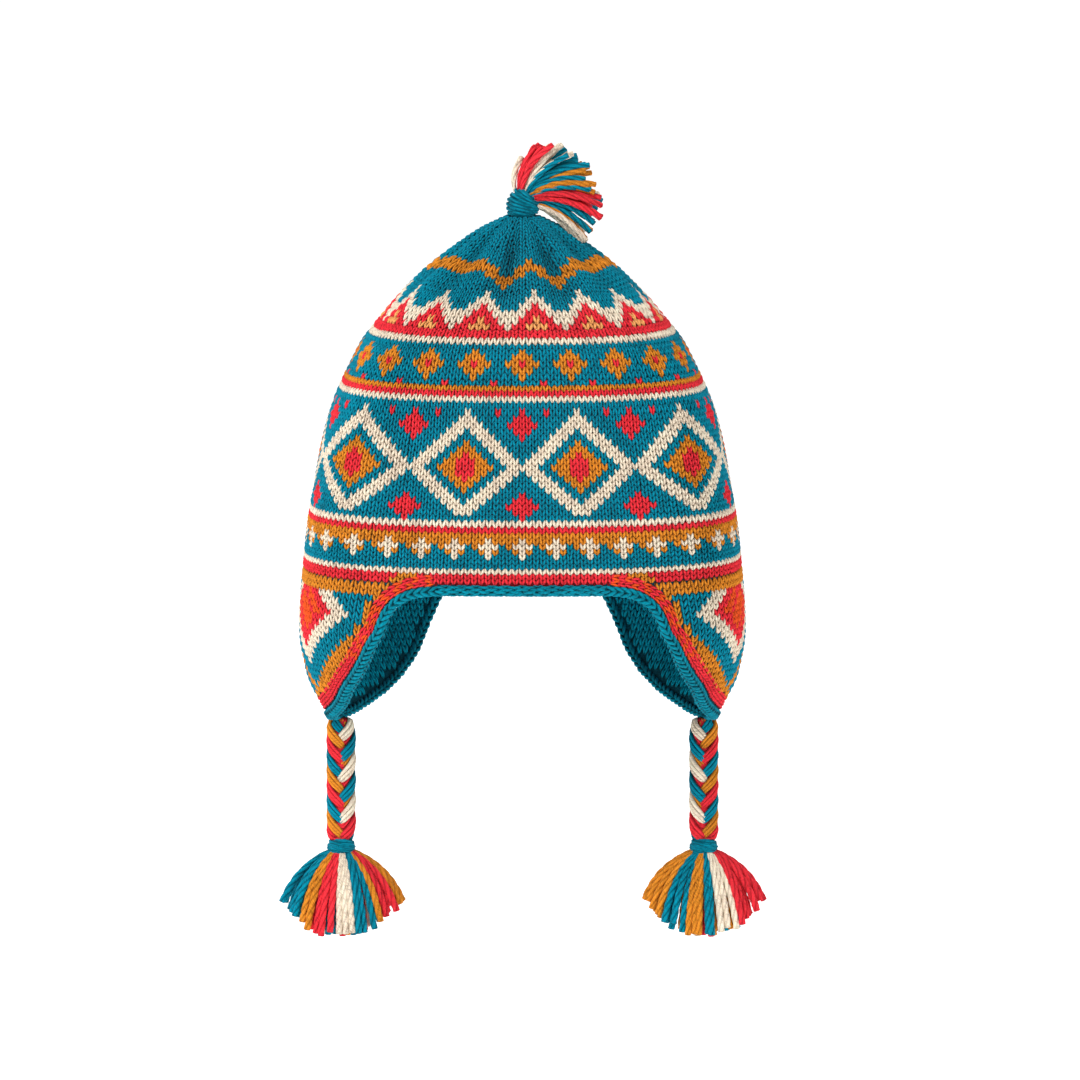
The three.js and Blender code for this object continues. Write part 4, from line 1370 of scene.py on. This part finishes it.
def make_stage():
    """Floor that turns up into a backdrop in one smooth sweep."""
    edge = FLOOR_REACH - BACKDROP_BEND
    profile = [(-FLOOR_REACH, FLOOR_LEVEL), (edge, FLOOR_LEVEL)]
    for angle in np.linspace(0, math.pi / 2, 24)[1:]:
        y = edge + BACKDROP_BEND * math.sin(angle)
        profile.append((y, FLOOR_LEVEL + BACKDROP_BEND * (1 - math.cos(angle))))
    profile.append((FLOOR_REACH, FLOOR_LEVEL + BACKDROP_RISE))
    verts = [(x, y, z) for x in (-FLOOR_REACH, FLOOR_REACH) for y, z in profile]
    n = len(profile)
    faces = [(k, k + 1, n + k + 1, n + k) for k in range(n - 1)]
    mesh = bpy.data.meshes.new("floor")
    mesh.from_pydata(verts, [], faces)
    mesh.polygons.foreach_set("use_smooth", [True] * len(faces))
    mesh.materials.append(paper())
    floor = bpy.data.objects.new("floor", mesh)
    bpy.context.scene.collection.objects.link(floor)
    world = bpy.data.worlds.new("studio")
    bpy.context.scene.world = world
    world.use_nodes = True
    world.node_tree.nodes["Background"].inputs[0].default_value = (1, 1, 1, 1)
    world.node_tree.nodes["Background"].inputs[1].default_value = SKY_STRENGTH


def add_light(name, place, target, size, power):
    """Round lamp that points at a target, in m and W."""
    lamp = bpy.data.lights.new(name, "AREA")
    lamp.shape = "DISK"
    lamp.size = size
    lamp.energy = power
    obj = bpy.data.objects.new(name, lamp)
    bpy.context.scene.collection.objects.link(obj)
    obj.location = place
    obj.rotation_euler = (Vector(target) - Vector(place)).to_track_quat("-Z", "Y").to_euler()


ELEVATION = math.radians(6)
LENS = 600
SENSOR = 36
FRAME_WIDTH = 0.486
TARGET = Vector((0.0079, 0, 0.0166))


def make_camera():
    """Camera with a long lens, far away, because the photo shows almost no perspective."""
    data = bpy.data.cameras.new("camera")
    data.lens = LENS
    data.sensor_width = SENSOR
    data.clip_end = 100
    camera = bpy.data.objects.new("camera", data)
    bpy.context.scene.collection.objects.link(camera)
    distance = FRAME_WIDTH * LENS / SENSOR
    camera.location = TARGET + Vector((0, -math.cos(ELEVATION), math.sin(ELEVATION))) * distance
    camera.rotation_euler = (TARGET - camera.location).to_track_quat("-Z", "Y").to_euler()
    bpy.context.scene.camera = camera


make_stage()
add_light("key", (-1.4, -1.6, 1.9), (0, 0, 0.03), 0.7, 50)
add_light("fill", (1.7, -1.4, 0.3), (0, 0, 0.0), 1.4, 8)
add_light("back", (0.2, 1.7, 1.4), (0, 0, 0.05), 1.2, 8)
make_camera()
bpy.context.scene.view_settings.view_transform = "Standard"
